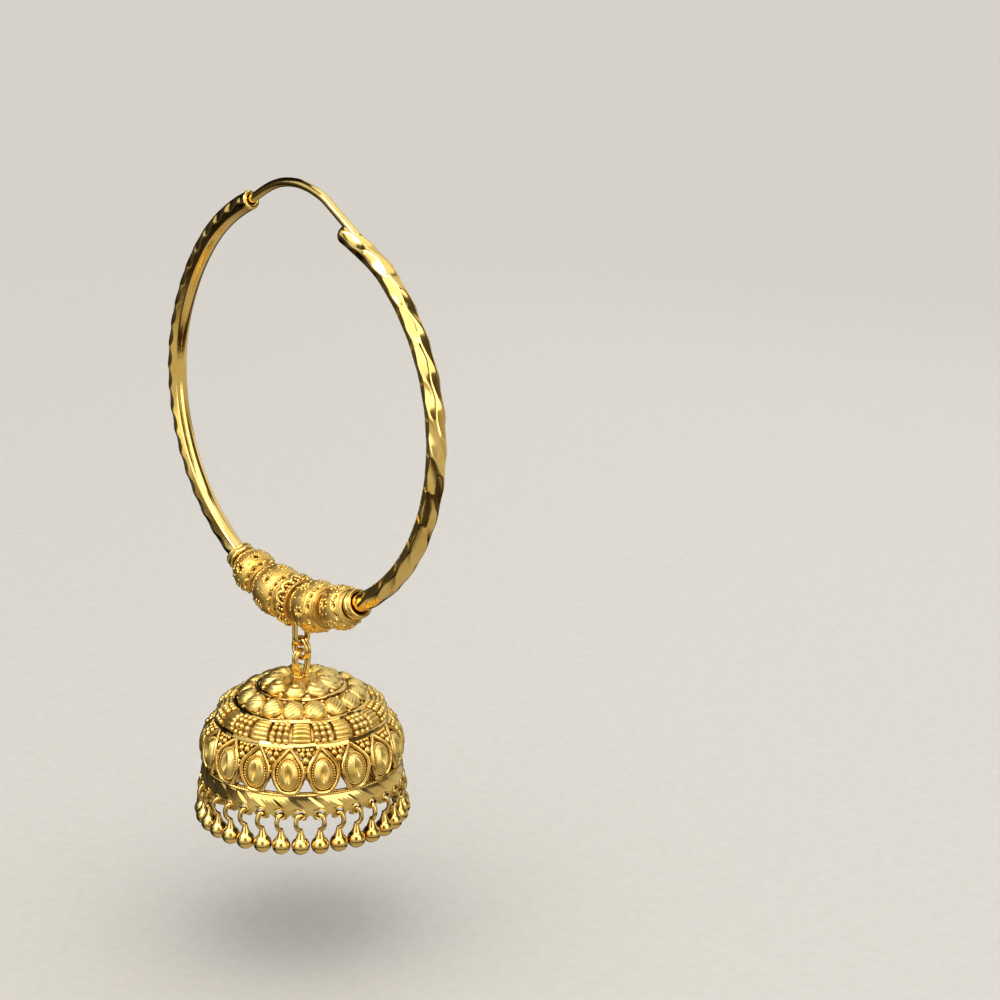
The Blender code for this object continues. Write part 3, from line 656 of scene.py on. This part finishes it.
def hanging_loop(shape):
    """Two strands side by side: down from the spacer, round and up again."""
    level = LINK_AXIS_Z + LOOP_HALF_WIDTH
    for strand in (-0.155, 0.155):
        centres = []
        for k in range(9):
            centres.append(Vector((strand, -LOOP_HALF_WIDTH, level + 1.7 * (1.0 - k / 8.0))))
        for k in range(1, 20):
            turn = math.pi * k / 20.0
            y = -LOOP_HALF_WIDTH * math.cos(turn)
            z = LINK_AXIS_Z + LOOP_HALF_WIDTH * (1.0 - math.sin(turn))
            centres.append(Vector((strand, y, z)))
        for k in range(9):
            centres.append(Vector((strand, LOOP_HALF_WIDTH, level + 1.7 * k / 8.0)))
        wire(shape, centres, (0.17, 0.20), ACROSS, sides=12, finish=BRIGHT)


def make_spacer(satin, bright):
    """The ring with looped petals on one rim and granules on the other, and the hanging loop under it."""
    shape = Shape()
    core = SPACER_RADIUS * 0.80
    end = SPACER_PROFILE[-1][0]
    rows = [(-end, BEAD_BORE)]
    rows += [(place, core * share) for place, share in SPACER_PROFILE]
    rows += [(end, BEAD_BORE), (-end, BEAD_BORE)]
    turned(shape, rows, 72)
    spacer_petals(shape, core)
    seat_on_hoop(shape, GROUP_ANGLE)
    hanging_loop(shape)
    make_piece("spacer_flower_ring", shape, [satin, bright], "hoop", ["spacer"])


def make_link(bright):
    """The ring of two strands between the hanging loop and the bell's eye."""
    shape = Shape()
    for strand in (-0.17, 0.17):
        centres = []
        for turn in turns(64):
            z = LINK_CENTRE_Z + LINK_RADIUS * math.sin(turn)
            centres.append(Vector((LINK_RADIUS * math.cos(turn), strand, z)))
        wire(shape, centres, (0.17, 0.19), -FRONT, sides=12, closed=True)
    make_piece("drop_link_double_ring", shape, [bright], "link", ["drop_link"])


def bell_curve():
    """The bell's bare outline at even steps of run from the crown: run is measured along the sheet.

    Its corners are rounded over a few steps. A row holds radius, height and the outward direction.
    """
    step, reach, slope_reach = 0.05, 7, 4
    corners = [(radius, PLATE_Z - drop) for radius, drop in BELL_PROFILE]
    points = []
    carried = 0.0
    for (r0, z0), (r1, z1) in zip(corners, corners[1:]):
        length = math.hypot(r1 - r0, z1 - z0)
        while carried < length:
            t = carried / length
            points.append((r0 + (r1 - r0) * t, z0 + (z1 - z0) * t))
            carried += step
        carried -= length
    points.append(corners[-1])
    rounded = []
    for i in range(len(points)):
        near = min(reach, i, len(points) - 1 - i)
        part = points[i - near : i + near + 1]
        rounded.append((sum(p[0] for p in part) / len(part), sum(p[1] for p in part) / len(part)))
    curve = []
    for i, (r, z) in enumerate(rounded):
        r0, z0 = rounded[max(i - slope_reach, 0)]
        r1, z1 = rounded[min(i + slope_reach, len(rounded) - 1)]
        length = math.hypot(r1 - r0, z1 - z0)
        curve.append((r, z, (z0 - z1) / length, (r1 - r0) / length))
    return step, curve


RUN_STEP, BELL_CURVE = bell_curve()


def bell_row(run):
    """Radius, height and outward direction of the bell's sheet at a run."""
    at = min(max(run / RUN_STEP, 0.0), len(BELL_CURVE) - 1.001)
    i = int(at)
    t = at - i
    a, b = BELL_CURVE[i], BELL_CURVE[i + 1]
    return [a[k] + (b[k] - a[k]) * t for k in range(4)]


def bell_point(turn, run, rise):
    """A point on or above the bell's sheet."""
    radius, height, out, up = bell_row(run)
    return about_z(radius + out * rise, turn, height + up * rise)


def bell_out(turn, run):
    """The outward direction of the bell's sheet."""
    _, _, out, up = bell_row(run)
    return about_z(out, turn, up).normalized()


def run_at(drop):
    """The run at which the sheet has come down by a drop."""
    level = PLATE_Z - drop
    for i, row in enumerate(BELL_CURVE):
        if row[1] <= level:
            return i * RUN_STEP
    return (len(BELL_CURVE) - 1) * RUN_STEP


def motif_turn(place, copies, start):
    """The turn of a place counted in motifs round a tier."""
    return 2.0 * math.pi * place / copies + math.radians(start)


def band(shape, runs, rows, columns, start, wall, cut=None, lift=None, finish=BODY):
    """A stretch of the bell's sheet, front and back, open where cut is below zero."""
    first, last = runs
    row_size = (last - first) / rows
    turn_size = 2.0 * math.pi / columns
    turn_start = math.radians(start)
    kept = []
    for i in range(rows):
        run = first + (i + 0.5) * row_size
        if cut:
            kept.append([cut(turn_start + (j + 0.5) * turn_size, run) > 0.0 for j in range(columns)])
        else:
            kept.append([True] * columns)
    number = {}
    front, back = [], []
    for i in range(rows + 1):
        for j in range(columns):
            around = []
            for a in (i - 1, i):
                for b in (j - 1, j):
                    if 0 <= a < rows:
                        around.append(kept[a][b % columns])
            if not any(around):
                continue
            turn, run = turn_start + j * turn_size, first + i * row_size
            if not all(around):
                turn, run = snap(cut, turn, run, row_size, turn_size)
            number[i, j] = len(front)
            rise = lift(turn, run) if lift else 0.0
            front.append(bell_point(turn, run, rise))
            back.append(bell_point(turn, run, -wall))
    half = len(front)
    first_face = len(shape.faces)
    faces = []
    for i in range(rows):
        for j in range(columns):
            if not kept[i][j]:
                continue
            k = (j + 1) % columns
            a, b, c, d = number[i, j], number[i, k], number[i + 1, k], number[i + 1, j]
            faces.append((a, b, c, d))
            faces.append((d + half, c + half, b + half, a + half))
            for (p, q), (m, n) in (
                ((a, b), (i - 1, j)),
                ((b, c), (i, k)),
                ((c, d), (i + 1, j)),
                ((d, a), (i, (j - 1) % columns)),
            ):
                if not 0 <= m < rows or not kept[m][n]:
                    faces.append((q, p, p + half, q + half))
    shape.add(front + back, faces, finish)
    # The back faces, the bell's inside, get the dark brown gold: painted shade
    for i, face in enumerate(faces):
        if min(face) >= half:
            shape.finishes[first_face + i] = SHADED_INSIDE


def snap(cut, turn, run, row_size, turn_size):
    """Moves a point at the border of an opening onto the opening's outline."""
    small = 0.01
    for _ in range(2):
        value = cut(turn, run)
        radius = max(bell_row(run)[0], 0.1)
        across = (cut(turn + small / radius, run) - value) / small
        down = (cut(turn, run + small) - value) / small
        size = across * across + down * down
        if size < 1e-6:
            break
        most = radius * turn_size * 0.6
        turn -= max(min(value * across / size, most), -most) / radius
        most = row_size * 0.6
        run -= max(min(value * down / size, most), -most)
    return turn, run


def dome(shape, turn, run, half_across, half_down, height, pattern, rings, sectors):
    """A raised oval on the bell; pattern gives what its chasing adds, from places across, down and out."""
    radius = bell_row(run)[0]
    points = []
    for i in range(rings + 1):
        out = i / rings
        for a in turns(sectors):
            u, v = out * math.cos(a), out * math.sin(a)
            x, y = half_across * u, half_down * v
            rise = height * math.sqrt(max(1.0 - out**2.4, 0.0)) + pattern(u, v, out) * (1.0 - out**6)
            if i == rings:
                rise = -0.08
            points.append(bell_point(turn + x / radius, run + y, rise))
    # The innermost ring is one point, the dome's top
    faces = [tuple(max(i - sectors + 1, 0) for i in f) for f in grid_faces(rings + 1, sectors)]
    shape.add(points[sectors - 1 :], faces)


def wire_ring(shape, turn, run, radius, count, rise, half_sizes):
    """A round eye of wire that lies on the bell."""
    across = bell_row(run)[0]
    centres = []
    for a in turns(count):
        centres.append(bell_point(turn + radius * math.cos(a) / across, run + radius * math.sin(a), rise))
    wire(shape, centres, half_sizes, bell_out(turn, run), closed=True, finish=BRIGHT)


def flat_ring(shape, run, facets, half_width, proud, start):
    """A flat polished wire round the bell whose outer face is cut in short facets."""
    draw = random.Random(facets)
    heights = []
    for _ in range(facets):
        high = proud + draw.uniform(-0.06, 0.06)
        low = proud + draw.uniform(-0.06, 0.06)
        heights.append((high, low))
    for k in range(facets):
        points = []
        for at in (k, k + 1):
            high, low = heights[at % facets]
            turn = motif_turn(at, facets, start)
            for down, rise in (
                (-half_width, -0.05),
                (-half_width, high - 0.05),
                (-half_width * 0.7, high),
                (half_width * 0.7, low),
                (half_width, low - 0.05),
                (half_width, -0.05),
            ):
                points.append(bell_point(turn, run + down, rise))
        faces = [(i, i + 6, (i + 1) % 6 + 6, (i + 1) % 6) for i in range(6)]
        faces += [tuple(range(6)), tuple(range(6, 12))]
        shape.add(points, faces, CUT)


LEAF_TOP = run_at(THIRD_RING_DROP) + 0.26
LEAF_LENGTH = run_at(SERRATED_DROP) - 0.20 - LEAF_TOP
LEAF_HALF_WIDTH = 1.40
LEAF_OUTLINE = (
    (0.00, 0.02), (0.10, 0.30), (0.22, 0.62), (0.34, 0.88),
    (0.46, 1.00), (0.60, 0.98), (0.75, 0.86), (0.88, 0.66),
    (0.97, 0.44), (1.00, 0.18),
)
# The granules where two leaves' frames meet: across, down and radius
FRAME_GRAINS = (
    (-0.12, 1.72, 0.19),
    (0.15, 1.92, 0.18),
    (-0.10, 2.18, 0.20),
    (0.12, 2.44, 0.17),
)


def leaf_half_width(run):
    """Half a leaf's width at a run, nothing above and below it."""
    share = (run - LEAF_TOP) / LEAF_LENGTH
    if share < 0.0 or share > 1.0:
        return 0.0
    return LEAF_HALF_WIDTH * table_value(LEAF_OUTLINE, share)


def leaf_openings(turn, run):
    """Below zero inside an opening of the leaf tier: beside a leaf's top, and between two leaves' feet."""
    radius = bell_row(run)[0]
    pitch = 2.0 * math.pi / LEAVES
    place = (turn - math.radians(LEAF_START)) / pitch
    from_gap = abs(place - round(place)) * pitch * radius
    from_leaf = math.pi * radius / LEAVES - from_gap
    down = run - LEAF_TOP
    foot_top = LEAF_LENGTH * 0.68
    foot_half = 0.84 * max((down - foot_top) / 1.2, 0.0) ** 0.9
    foot = max(from_gap - foot_half, down - LEAF_LENGTH, foot_top - down)
    inner = leaf_half_width(run) + 0.16
    cluster = 0.56 - 0.34 * (down - 0.24)
    side = max(inner - from_leaf, cluster - from_gap, 0.45 - down, down - LEAF_LENGTH * 0.44)
    return min(foot, side)


def rim_lift(turn, run):
    """Slanted diamond cuts round the rim: each rises to a ridge and falls sharply."""
    top, foot = run_at(RIM_TOP_DROP), run_at(RIM_FOOT_DROP)
    down = (run - top) / (foot - top)
    place = (turn - math.radians(DROP_START)) * DROPS / (2.0 * math.pi) - down * 0.8
    t = place - math.floor(place)
    ridge = t / 0.86 if t < 0.86 else (1.0 - t) / 0.14
    belly = math.sin(math.pi * min(max(down, 0.0), 1.0)) ** 0.5
    lines = 0.006 * math.cos(2.0 * math.pi * 4.0 * t)
    return 0.06 + (0.07 * ridge + lines) * belly


def lace_cut(turn, run):
    """Below zero past the scalloped edge and inside the eyelets."""
    pitch = 2.0 * math.pi / DROPS
    place = (turn - math.radians(DROP_START)) / pitch - 0.5
    across = (place - round(place)) * pitch * BELL_RADIUS
    eyelet = math.hypot(across, run - run_at(EYELET_DROP)) - EYELET_RADIUS
    tip = run_at(BELL_HEIGHT)
    scallop = 0.70 - math.hypot(across * 0.80, run - (tip - 0.70))
    if run < tip - 0.50:
        scallop = max(scallop, tip - 0.36 - run)
    return min(eyelet, scallop)


def make_bell(chased, bright, cut_gold, shade_gold):
    """The chased and pierced bell with its eye, in four pieces from the crown down."""
    finishes = [chased, bright, shade_gold, cut_gold]
    for name, shape in (
        ("bell_crown_and_panels", bell_crown()),
        ("bell_pierced_tier", bell_tier()),
        ("bell_leaves", bell_leaves()),
        ("bell_rim_and_lace", bell_rim()),
    ):
        make_piece(name, shape, finishes, "drop", ["bell"], 38.0)


def crown_motifs(shape, foot):
    """Domes with nested arcs round the crown, two granules between each pair."""
    middle = (1.30 + foot) / 2.0

    def arcs(u, v, _):
        return 0.05 * math.cos(2.0 * math.pi * 2.6 * math.hypot(u, v + 0.35))

    for i in range(CROWN_DOMES):
        turn = motif_turn(i + 0.5, CROWN_DOMES, CROWN_START)
        dome(shape, turn, middle, 1.04, 1.38, 0.60, arcs, 14, 40)
        gap = motif_turn(i, CROWN_DOMES, CROWN_START)
        granule(shape, bell_point(gap, foot - 0.42, 0.15), 0.27)
        granule(shape, bell_point(gap, foot - 1.00, 0.12), 0.20)


def shoulder_motifs(shape, top, foot):
    """Domes wound with slanted ribs round the shoulder, with granules and small holes between them."""
    middle = (top + foot) / 2.0 + 0.02
    radius = bell_row(middle)[0]

    def ribs(u, v, _):
        return 0.032 * math.cos(2.0 * math.pi * 4.4 * (u * 0.50 + v * 0.80))

    for i in range(SHOULDER_DOMES):
        turn = motif_turn(i + 0.5, SHOULDER_DOMES, SHOULDER_START)
        dome(shape, turn, middle, 1.07, 1.10, 0.60, ribs, 18, 48)
        # A thin wire along each side of the dome
        for side in (-1.0, 1.0):
            centres = []
            ups = []
            for k in range(9):
                a = math.radians(-52.0 + 13.0 * k)
                at = turn + side * 1.04 * math.cos(a) / radius
                run = middle + 1.08 * math.sin(a)
                centres.append(bell_point(at, run, 0.13))
                ups.append(bell_out(at, run))
            wire(shape, centres, (0.10, 0.07), ups, sides=6, finish=BRIGHT)
        gap = motif_turn(i, SHOULDER_DOMES, SHOULDER_START)
        for down, size in ((-0.88, 0.19), (0.90, 0.21)):
            granule(shape, bell_point(gap, middle + down, 0.10), size)
        if i % 4 == 0:
            wire_ring(shape, gap, middle, 0.19, 14, 0.06, (0.09, 0.09))


def panel_motifs(shape, top, foot, draw):
    """Panels of stacked ribs, in turn with panels of four rows of granules."""
    radius = bell_row((top + foot) / 2.0)[0]
    for i in range(RIBBED_PANELS):
        turn = motif_turn(i + 0.5, RIBBED_PANELS, PANEL_START)
        if i % 2:
            ribbed_panel(shape, turn, top, foot, radius)
            continue
        for row in range(4):
            run = top + (foot - top) * (row + 0.5) / 4.0
            rise = 0.10 + 0.36 * math.sin(math.pi * (row + 0.9) / 5.0)
            for column in (-1, 0, 1):
                side = column * 0.59 + draw.uniform(-0.03, 0.03)
                granule(shape, bell_point(turn + side / radius, run, rise), 0.30)


def bell_crown():
    """The crown, the shoulder and the panels, their polished rings and the eye."""
    shape = Shape()
    first, second, third = (run_at(drop) for drop in (FIRST_RING_DROP, SECOND_RING_DROP, THIRD_RING_DROP))
    band(shape, (0.02, third), 60, 144, 0.0, BELL_WALL)
    crown_motifs(shape, first)
    shoulder_motifs(shape, first, second)
    panel_motifs(shape, second + 0.24, third - 0.26, random.Random(7))
    flat_ring(shape, first, 34, 0.21, 0.30, 4.0)
    flat_ring(shape, second, 42, 0.26, 0.32, 2.0)
    flat_ring(shape, third, 48, 0.33, 0.34, 0.0)
    make_eye(shape)
    return shape


def bell_tier():
    """The pierced sheet behind the leaves and the granules between them."""
    draw = random.Random(11)
    shape = Shape()
    top, foot = run_at(THIRD_RING_DROP) - 0.02, run_at(SERRATED_DROP) + 0.05
    band(shape, (top, foot), 48, LEAVES * 28, LEAF_START, BELL_WALL, cut=leaf_openings)
    for i in range(LEAVES):
        between_leaves(shape, motif_turn(i, LEAVES, LEAF_START), draw)
    return shape


def bell_leaves():
    """The leaves, which lie on the pierced sheet."""
    shape = Shape()
    for i in range(LEAVES):
        leaf(shape, i)
    return shape


def bell_rim():
    """The milled wire, the diamond-cut rim and the lace with its eyelets."""
    shape = Shape()
    top, foot, tip = run_at(RIM_TOP_DROP), run_at(RIM_FOOT_DROP), run_at(BELL_HEIGHT)
    rim = (top - 0.15, foot + 0.05)
    band(shape, rim, 18, DROPS * 14, DROP_START, BELL_WALL, lift=rim_lift, finish=CUT)
    band(shape, (foot, tip), 14, DROPS * 16, DROP_START, BELL_WALL * 0.8, cut=lace_cut)
    milled_wire(shape, run_at(SERRATED_DROP) + 0.02)
    for i in range(DROPS):
        turn = motif_turn(i + 0.5, DROPS, DROP_START)
        wire_ring(shape, turn, run_at(EYELET_DROP), EYELET_RADIUS + 0.07, 16, 0.02, (0.12, 0.10))
    return shape


def ribbed_panel(shape, turn, top, foot, radius):
    """A raised panel of five stacked ribs."""
    columns, rows = 12, 50
    half_width, edge_rise = 0.93, -0.06
    points = []
    for i in range(rows + 1):
        t = i / rows
        run = top + (foot - top) * t
        rib = abs(math.sin(math.pi * 5.0 * t)) ** 0.7
        for j in range(columns + 1):
            u = -1.0 + 2.0 * j / columns
            edge = math.sqrt(max(1.0 - abs(u) ** 5, 0.0))
            rise = edge_rise + edge * (0.14 + 0.42 * math.sin(math.pi * t) ** 0.6 + 0.16 * rib)
            if i in (0, rows) or j in (0, columns):
                rise = edge_rise
            points.append(bell_point(turn + half_width * u / radius, run, rise))
    shape.add(points, grid_faces(rows + 1, columns + 1, around=False))


def leaf_frame(shape, turn, radius):
    """A leaf's polished frame: from the left foot over the point to the right foot, then closed below."""
    shares = []
    for (share, _), (next_share, _) in zip(LEAF_OUTLINE, LEAF_OUTLINE[1:]):
        shares += [share + (next_share - share) * k / 3.0 for k in range(3)]
    shares.append(1.0)
    runs = [LEAF_TOP + LEAF_LENGTH * share for share in shares]
    outline = [(-leaf_half_width(run), run) for run in reversed(runs)]
    outline += [(leaf_half_width(run), run) for run in runs]
    centres = []
    ups = []
    for x, run in outline:
        rise = 0.17 + 0.06 * math.sin(math.pi * (run - LEAF_TOP) / LEAF_LENGTH)
        centres.append(bell_point(turn + x / radius, run, rise))
        ups.append(bell_out(turn + x / radius, run))
    wire(shape, centres, (0.23, 0.20), ups, sides=10, closed=True, finish=BRIGHT)


def leaf(shape, index):
    """One leaf: a pointed polished frame round a chased oval, ringed by a fine rope of granules."""
    turn = motif_turn(index + 0.5, LEAVES, LEAF_START)
    radius = bell_row(LEAF_TOP + LEAF_LENGTH * 0.5)[0]
    leaf_frame(shape, turn, radius)
    fluted = index % 2

    def chasing(u, v, out):
        away = math.hypot(u / 0.24, v / 0.38)
        slot = -0.34 * math.exp(-(away**2)) + 0.06 * math.exp(-(((away - 1.7) / 0.4) ** 2))
        if not fluted:
            return slot
        flutes = math.cos(22.0 * math.atan2(v, u))
        return slot + 0.035 * flutes * math.exp(-(((out - 0.80) / 0.14) ** 2))

    middle = LEAF_TOP + LEAF_LENGTH * 0.565
    dome(shape, turn, middle, 1.02, 1.46, 0.54, chasing, 20, 66)
    for a in turns(38):
        place = bell_point(turn + 1.06 * math.cos(a) / radius, middle + 1.50 * math.sin(a), 0.14)
        granule(shape, place, 0.115)


def between_leaves(shape, turn, draw):
    """The granules in the gap between two leaves: a hanging cluster, and a few where the frames meet."""
    radius = bell_row(LEAF_TOP + 0.8)[0]
    for count, size, down in ((4, 0.20, 0.16), (2, 0.31, 0.58), (1, 0.37, 1.12)):
        for k in range(count):
            side = (k - (count - 1) / 2.0) * size * 2.04 + draw.uniform(-0.02, 0.02)
            granule(shape, bell_point(turn + side / radius, LEAF_TOP + down, 0.22), size, BRIGHT)
    for side, down, size in FRAME_GRAINS:
        place = turn + (side + draw.uniform(-0.04, 0.04)) / radius
        granule(shape, bell_point(place, LEAF_TOP + down, 0.16), size, BRIGHT)
    foot = LEAF_TOP + LEAF_LENGTH - 0.16
    for side in (-0.72, 0.72):
        granule(shape, bell_point(turn + side / radius, foot, 0.16), 0.19, BRIGHT)


def milled_wire(shape, run):
    """A fine wire rolled with close notches, under the leaves."""
    notch = (0.13, 0.17, 0.165)
    rows, sides = 250 * len(notch), 8
    points = []
    for k, turn in enumerate(turns(rows)):
        size = notch[k % len(notch)]
        for a in turns(sides):
            points.append(bell_point(turn, run + size * math.sin(a), 0.12 + size * math.cos(a)))
    shape.add(points, grid_faces(rows, sides, looped=True), BRIGHT)


def make_eye(shape):
    """The eye of two strands on the crown: its legs draw in towards the foot."""
    foot_z = PLATE_Z - 0.15
    for strand in (-0.17, 0.17):
        leg = []
        for k in range(14):
            t = k / 14.0
            z = foot_z + (DROP_AXIS_Z - foot_z) * t
            leg.append((EYE_FOOT + (EYE_RADIUS - EYE_FOOT) * math.sin(math.pi / 2.0 * t), z))
        centres = [Vector((strand, -y, z)) for y, z in leg]
        for k in range(25):
            turn = math.pi * k / 24.0
            z = DROP_AXIS_Z + EYE_RADIUS * math.sin(turn)
            centres.append(Vector((strand, -EYE_RADIUS * math.cos(turn), z)))
        centres += [Vector((strand, y, z)) for y, z in reversed(leg)]
        wire(shape, centres, (0.19, 0.20), ACROSS, sides=12, finish=BRIGHT)
    # A ring of granules round each leg's foot
    for side in (-EYE_FOOT, EYE_FOOT):
        for turn in turns(10):
            place = Vector((0.44 * math.cos(turn), side + 0.34 * math.sin(turn), PLATE_Z))
            granule(shape, place, 0.17, BRIGHT)


def fringe_mesh(bright):
    """One drop, measured from its eyelet's middle: an open ring, a neck that flares, and a ball."""
    shape = Shape()
    middle = RING_TOP - RING_HALF_HEIGHT
    centres = []
    for i in range(26):
        turn = math.radians(HOOK_START + (HOOK_END - HOOK_START) * i / 25.0)
        z = middle - RING_HALF_HEIGHT * math.cos(turn)
        centres.append(Vector((RING_HALF_WIDTH * math.sin(turn), 0.0, z)))
    wire(shape, centres, (RING_WIRE, RING_WIRE), -FRONT, sides=10)
    foot = middle - RING_HALF_HEIGHT
    rows = [(foot + rise, radius) for rise, radius in NECK_PROFILE]
    start = math.asin(0.50 / BALL_RADIUS)
    for i in range(19):
        turn = start + (math.pi - start) * i / 18.0
        rows.append((BALL_CENTRE + BALL_RADIUS * math.cos(turn), max(BALL_RADIUS * math.sin(turn), 0.004)))
    sides = 28
    points = [about_z(radius, turn, height) for height, radius in rows for turn in turns(sides)]
    shape.add(points, grid_faces(len(rows), sides))
    return make_mesh("fringe_drop_ball", shape, [bright])


def make_fringe(bright):
    """The drops in their eyelets, each turned a little to one side or the other."""
    mesh = fringe_mesh(bright)
    draw = random.Random(3)
    radius = BELL_RADIUS - BELL_WALL / 2.0
    height = PLATE_Z - EYELET_DROP
    for i in range(DROPS):
        turn = motif_turn(i + 0.5, DROPS, DROP_START)
        name = "fringe_drop_%02d" % (i + 1)
        piece = dress(name + "_ball", mesh, "drop", [name])
        piece.location = about_z(radius, turn, height) * MM
        lean = math.copysign(draw.uniform(38.0, 58.0), math.sin(turn - FRINGE_PART)) if i % 11 else 0.0
        piece.rotation_euler = (0.0, 0.0, turn + math.radians(lean))


def make_camera():
    """The photograph's view, fitted to the hoop's and bell's outlines."""
    azimuth, elevation, roll = math.radians(46.10), math.radians(16.29), math.radians(0.86)
    distance, aside, above = 223.6, -18.71, 8.52
    flat = math.cos(elevation)
    back = Vector((math.sin(azimuth) * flat, -math.cos(azimuth) * flat, math.sin(elevation)))
    level = Vector((math.cos(azimuth), math.sin(azimuth), 0.0))
    up = back.cross(level)
    right = level * math.cos(roll) + up * math.sin(roll)
    up = up * math.cos(roll) - level * math.sin(roll)
    place = back * distance - right * aside - up * above + Vector((0.0, 0.0, HOOP_CENTRE_Z))
    data = bpy.data.cameras.new("camera")
    data.lens = 86.4
    data.sensor_width = 36.0
    data.clip_start = 0.01
    data.clip_end = 10.0
    camera = place_object("camera", data)
    rows = [(right[i], up[i], back[i], place[i] * MM) for i in range(3)]
    camera.matrix_world = Matrix([*rows, (0.0, 0.0, 0.0, 1.0)])
    bpy.context.scene.camera = camera


def softbox(name, place, size, radiance, colour):
    """A large soft light of even radiance that the metal mirrors and the floor doesn't see."""
    data = bpy.data.lights.new(name, "AREA")
    data.shape = "RECTANGLE"
    data.size, data.size_y = size[0] * MM, size[1] * MM
    data.energy = radiance * math.pi * data.size * data.size_y
    data.color = linear(colour)[:3]
    light = place_object(name, data)
    light.location = Vector(place) * MM
    light.rotation_euler = (LIT_MIDDLE - Vector(place)).to_track_quat("-Z", "Y").to_euler()
    light.visible_diffuse = False


def make_floor():
    """A pale matt board under the earring, which polished metal doesn't mirror."""
    mesh = bpy.data.meshes.new("floor")
    half, low = 1.2, -0.0735
    corners = [(-half, -half, low), (half, -half, low), (half, half, low), (-half, half, low)]
    mesh.from_pydata(corners, [], [(0, 1, 2, 3)])
    floor = place_object("floor", mesh)
    paint, tree = empty_material("pale_matt_board")
    place = add_node(tree, "ShaderNodeTexCoord").outputs["Object"]
    fibres = {"Scale": 1.0 / (BOARD_FIBRE * MM), "Detail": 3.0}
    fibre = add_node(tree, "ShaderNodeTexNoise", fibres, {"Vector": place}).outputs["Fac"]
    board = ((0.0, "#D9D5CC"), (1.0, "#E6E2DA"))
    tone = add_node(tree, "ShaderNodeValToRGB", {}, {"Fac": fibre}, board).outputs["Color"]
    shader = add_node(tree, "ShaderNodeBsdfPrincipled", {"Roughness": 0.7}, {"Base Color": tone})
    add_node(tree, "ShaderNodeOutputMaterial", {}, {"Surface": shader.outputs["BSDF"]})
    mesh.materials.append(paint)
    floor.visible_glossy = False


def make_world():
    """What the camera sees behind the floor, and the glow that polished metal mirrors."""
    world = bpy.data.worlds.new("studio")
    world.use_nodes = True
    tree = world.node_tree
    tree.nodes.clear()
    seen = add_node(tree, "ShaderNodeLightPath").outputs["Is Camera Ray"]
    way = add_node(tree, "ShaderNodeTexCoord").outputs["Generated"]
    parts = add_node(tree, "ShaderNodeSeparateXYZ", {}, {"Vector": way})
    whole = {"From Min": -1.0, "From Max": 1.0}
    level = add_node(tree, "ShaderNodeMapRange", whole, {"Value": parts.outputs["Z"]})
    height = {"Fac": level.outputs["Result"]}
    glow = add_node(tree, "ShaderNodeValToRGB", {}, height, HORIZON_GLOW).outputs["Color"]
    # The glow is dimmer towards -X, so that the metal's left side has deep tones
    fall = {"From Min": -0.65, "From Max": -0.2, "To Min": 0.12, "To Max": 1.0}
    share = add_node(tree, "ShaderNodeMapRange", fall, {"Value": parts.outputs["X"]}).outputs["Result"]
    dim = add_node(tree, "ShaderNodeBackground", {}, {"Color": glow, "Strength": share})
    pale = add_node(tree, "ShaderNodeBackground", {"Color": linear("#DAD6CE"), "Strength": 0.92})
    ends = {"Fac": seen, 1: dim.outputs["Background"], 2: pale.outputs["Background"]}
    mix = add_node(tree, "ShaderNodeMixShader", {}, ends)
    add_node(tree, "ShaderNodeOutputWorld", {}, {"Surface": mix.outputs["Shader"]})
    bpy.context.scene.world = world


def make_studio():
    """The floor, the soft lights, the floor's own even light and the surroundings."""
    make_floor()
    for light in SOFT_LIGHTS:
        softbox(*light)
    data = bpy.data.lights.new("floor_light", "SUN")
    data.energy = 2.9
    data.angle = math.radians(120.0)
    floor_light = place_object("floor_light", data)
    floor_light.visible_glossy = False
    make_world()
    view = bpy.context.scene.view_settings
    view.view_transform = "Standard"
    view.look = "None"
    view.exposure = 0.0


def main():
    """Names the finishes and builds the studio and the pieces."""
    # The hoop: bright and smooth, so that each cut is one clear flash or one clear dark
    cut = gold("diamond_cut_gold", "#F9DA86", "#F0C86C", 0.13, 0.6667, 0.006)
    # Wires, granules, collars and frames: rounded highlights with a soft edge
    polished = gold("polished_wire_gold", "#F8D67E", "#ECC264", 0.20, 0.4167, 0.010)
    # Beads and spacer: a matt grainy skin that sets off the bright granules
    satin = gold("granulated_satin_gold", "#F8D47A", "#EABC5C", 0.40, 0.2632, 0.045)
    # The bell's sheet and motifs: a worn skin between matt and bright
    chased = gold("chased_bell_gold", "#FCE08A", "#F2CC6C", 0.36, 0.2083, 0.028)
    # The bell's inside and the floors of the beads' holes: painted dark brown as their shade, and rough
    shade_gold = gold("painted_shade_inside_gold", "#6E4A1C", "#4A2F10", 0.60, 0.1923, 0.030)
    # The fringe: pale balls with one clear highlight each
    ball = gold("fringe_ball_gold", "#FADA84", "#EEC468", 0.21, 0.3846, 0.010)
    make_camera()
    make_studio()
    make_hoop(polished, cut)
    bead_finishes = [satin, polished, shade_gold]
    large = hoop_degrees(SPACER_LENGTH / 2.0 + PIECE_GAP + LARGE_BEAD[1] / 2.0)
    small = large + hoop_degrees(LARGE_BEAD[1] / 2.0 + PIECE_GAP + SMALL_BEAD[1] / 2.0)
    make_bead("bead_small_left", SMALL_BEAD, GROUP_ANGLE - small, bead_finishes, 1)
    make_bead("bead_large_left", LARGE_BEAD, GROUP_ANGLE - large, bead_finishes, 2)
    make_bead("bead_large_right", LARGE_BEAD, GROUP_ANGLE + large, bead_finishes, 3)
    make_bead("bead_small_right", SMALL_BEAD, GROUP_ANGLE + small, bead_finishes, 4)
    make_spacer(satin, polished)
    make_link(polished)
    make_bell(chased, polished, cut, shade_gold)
    make_fringe(ball)


main()
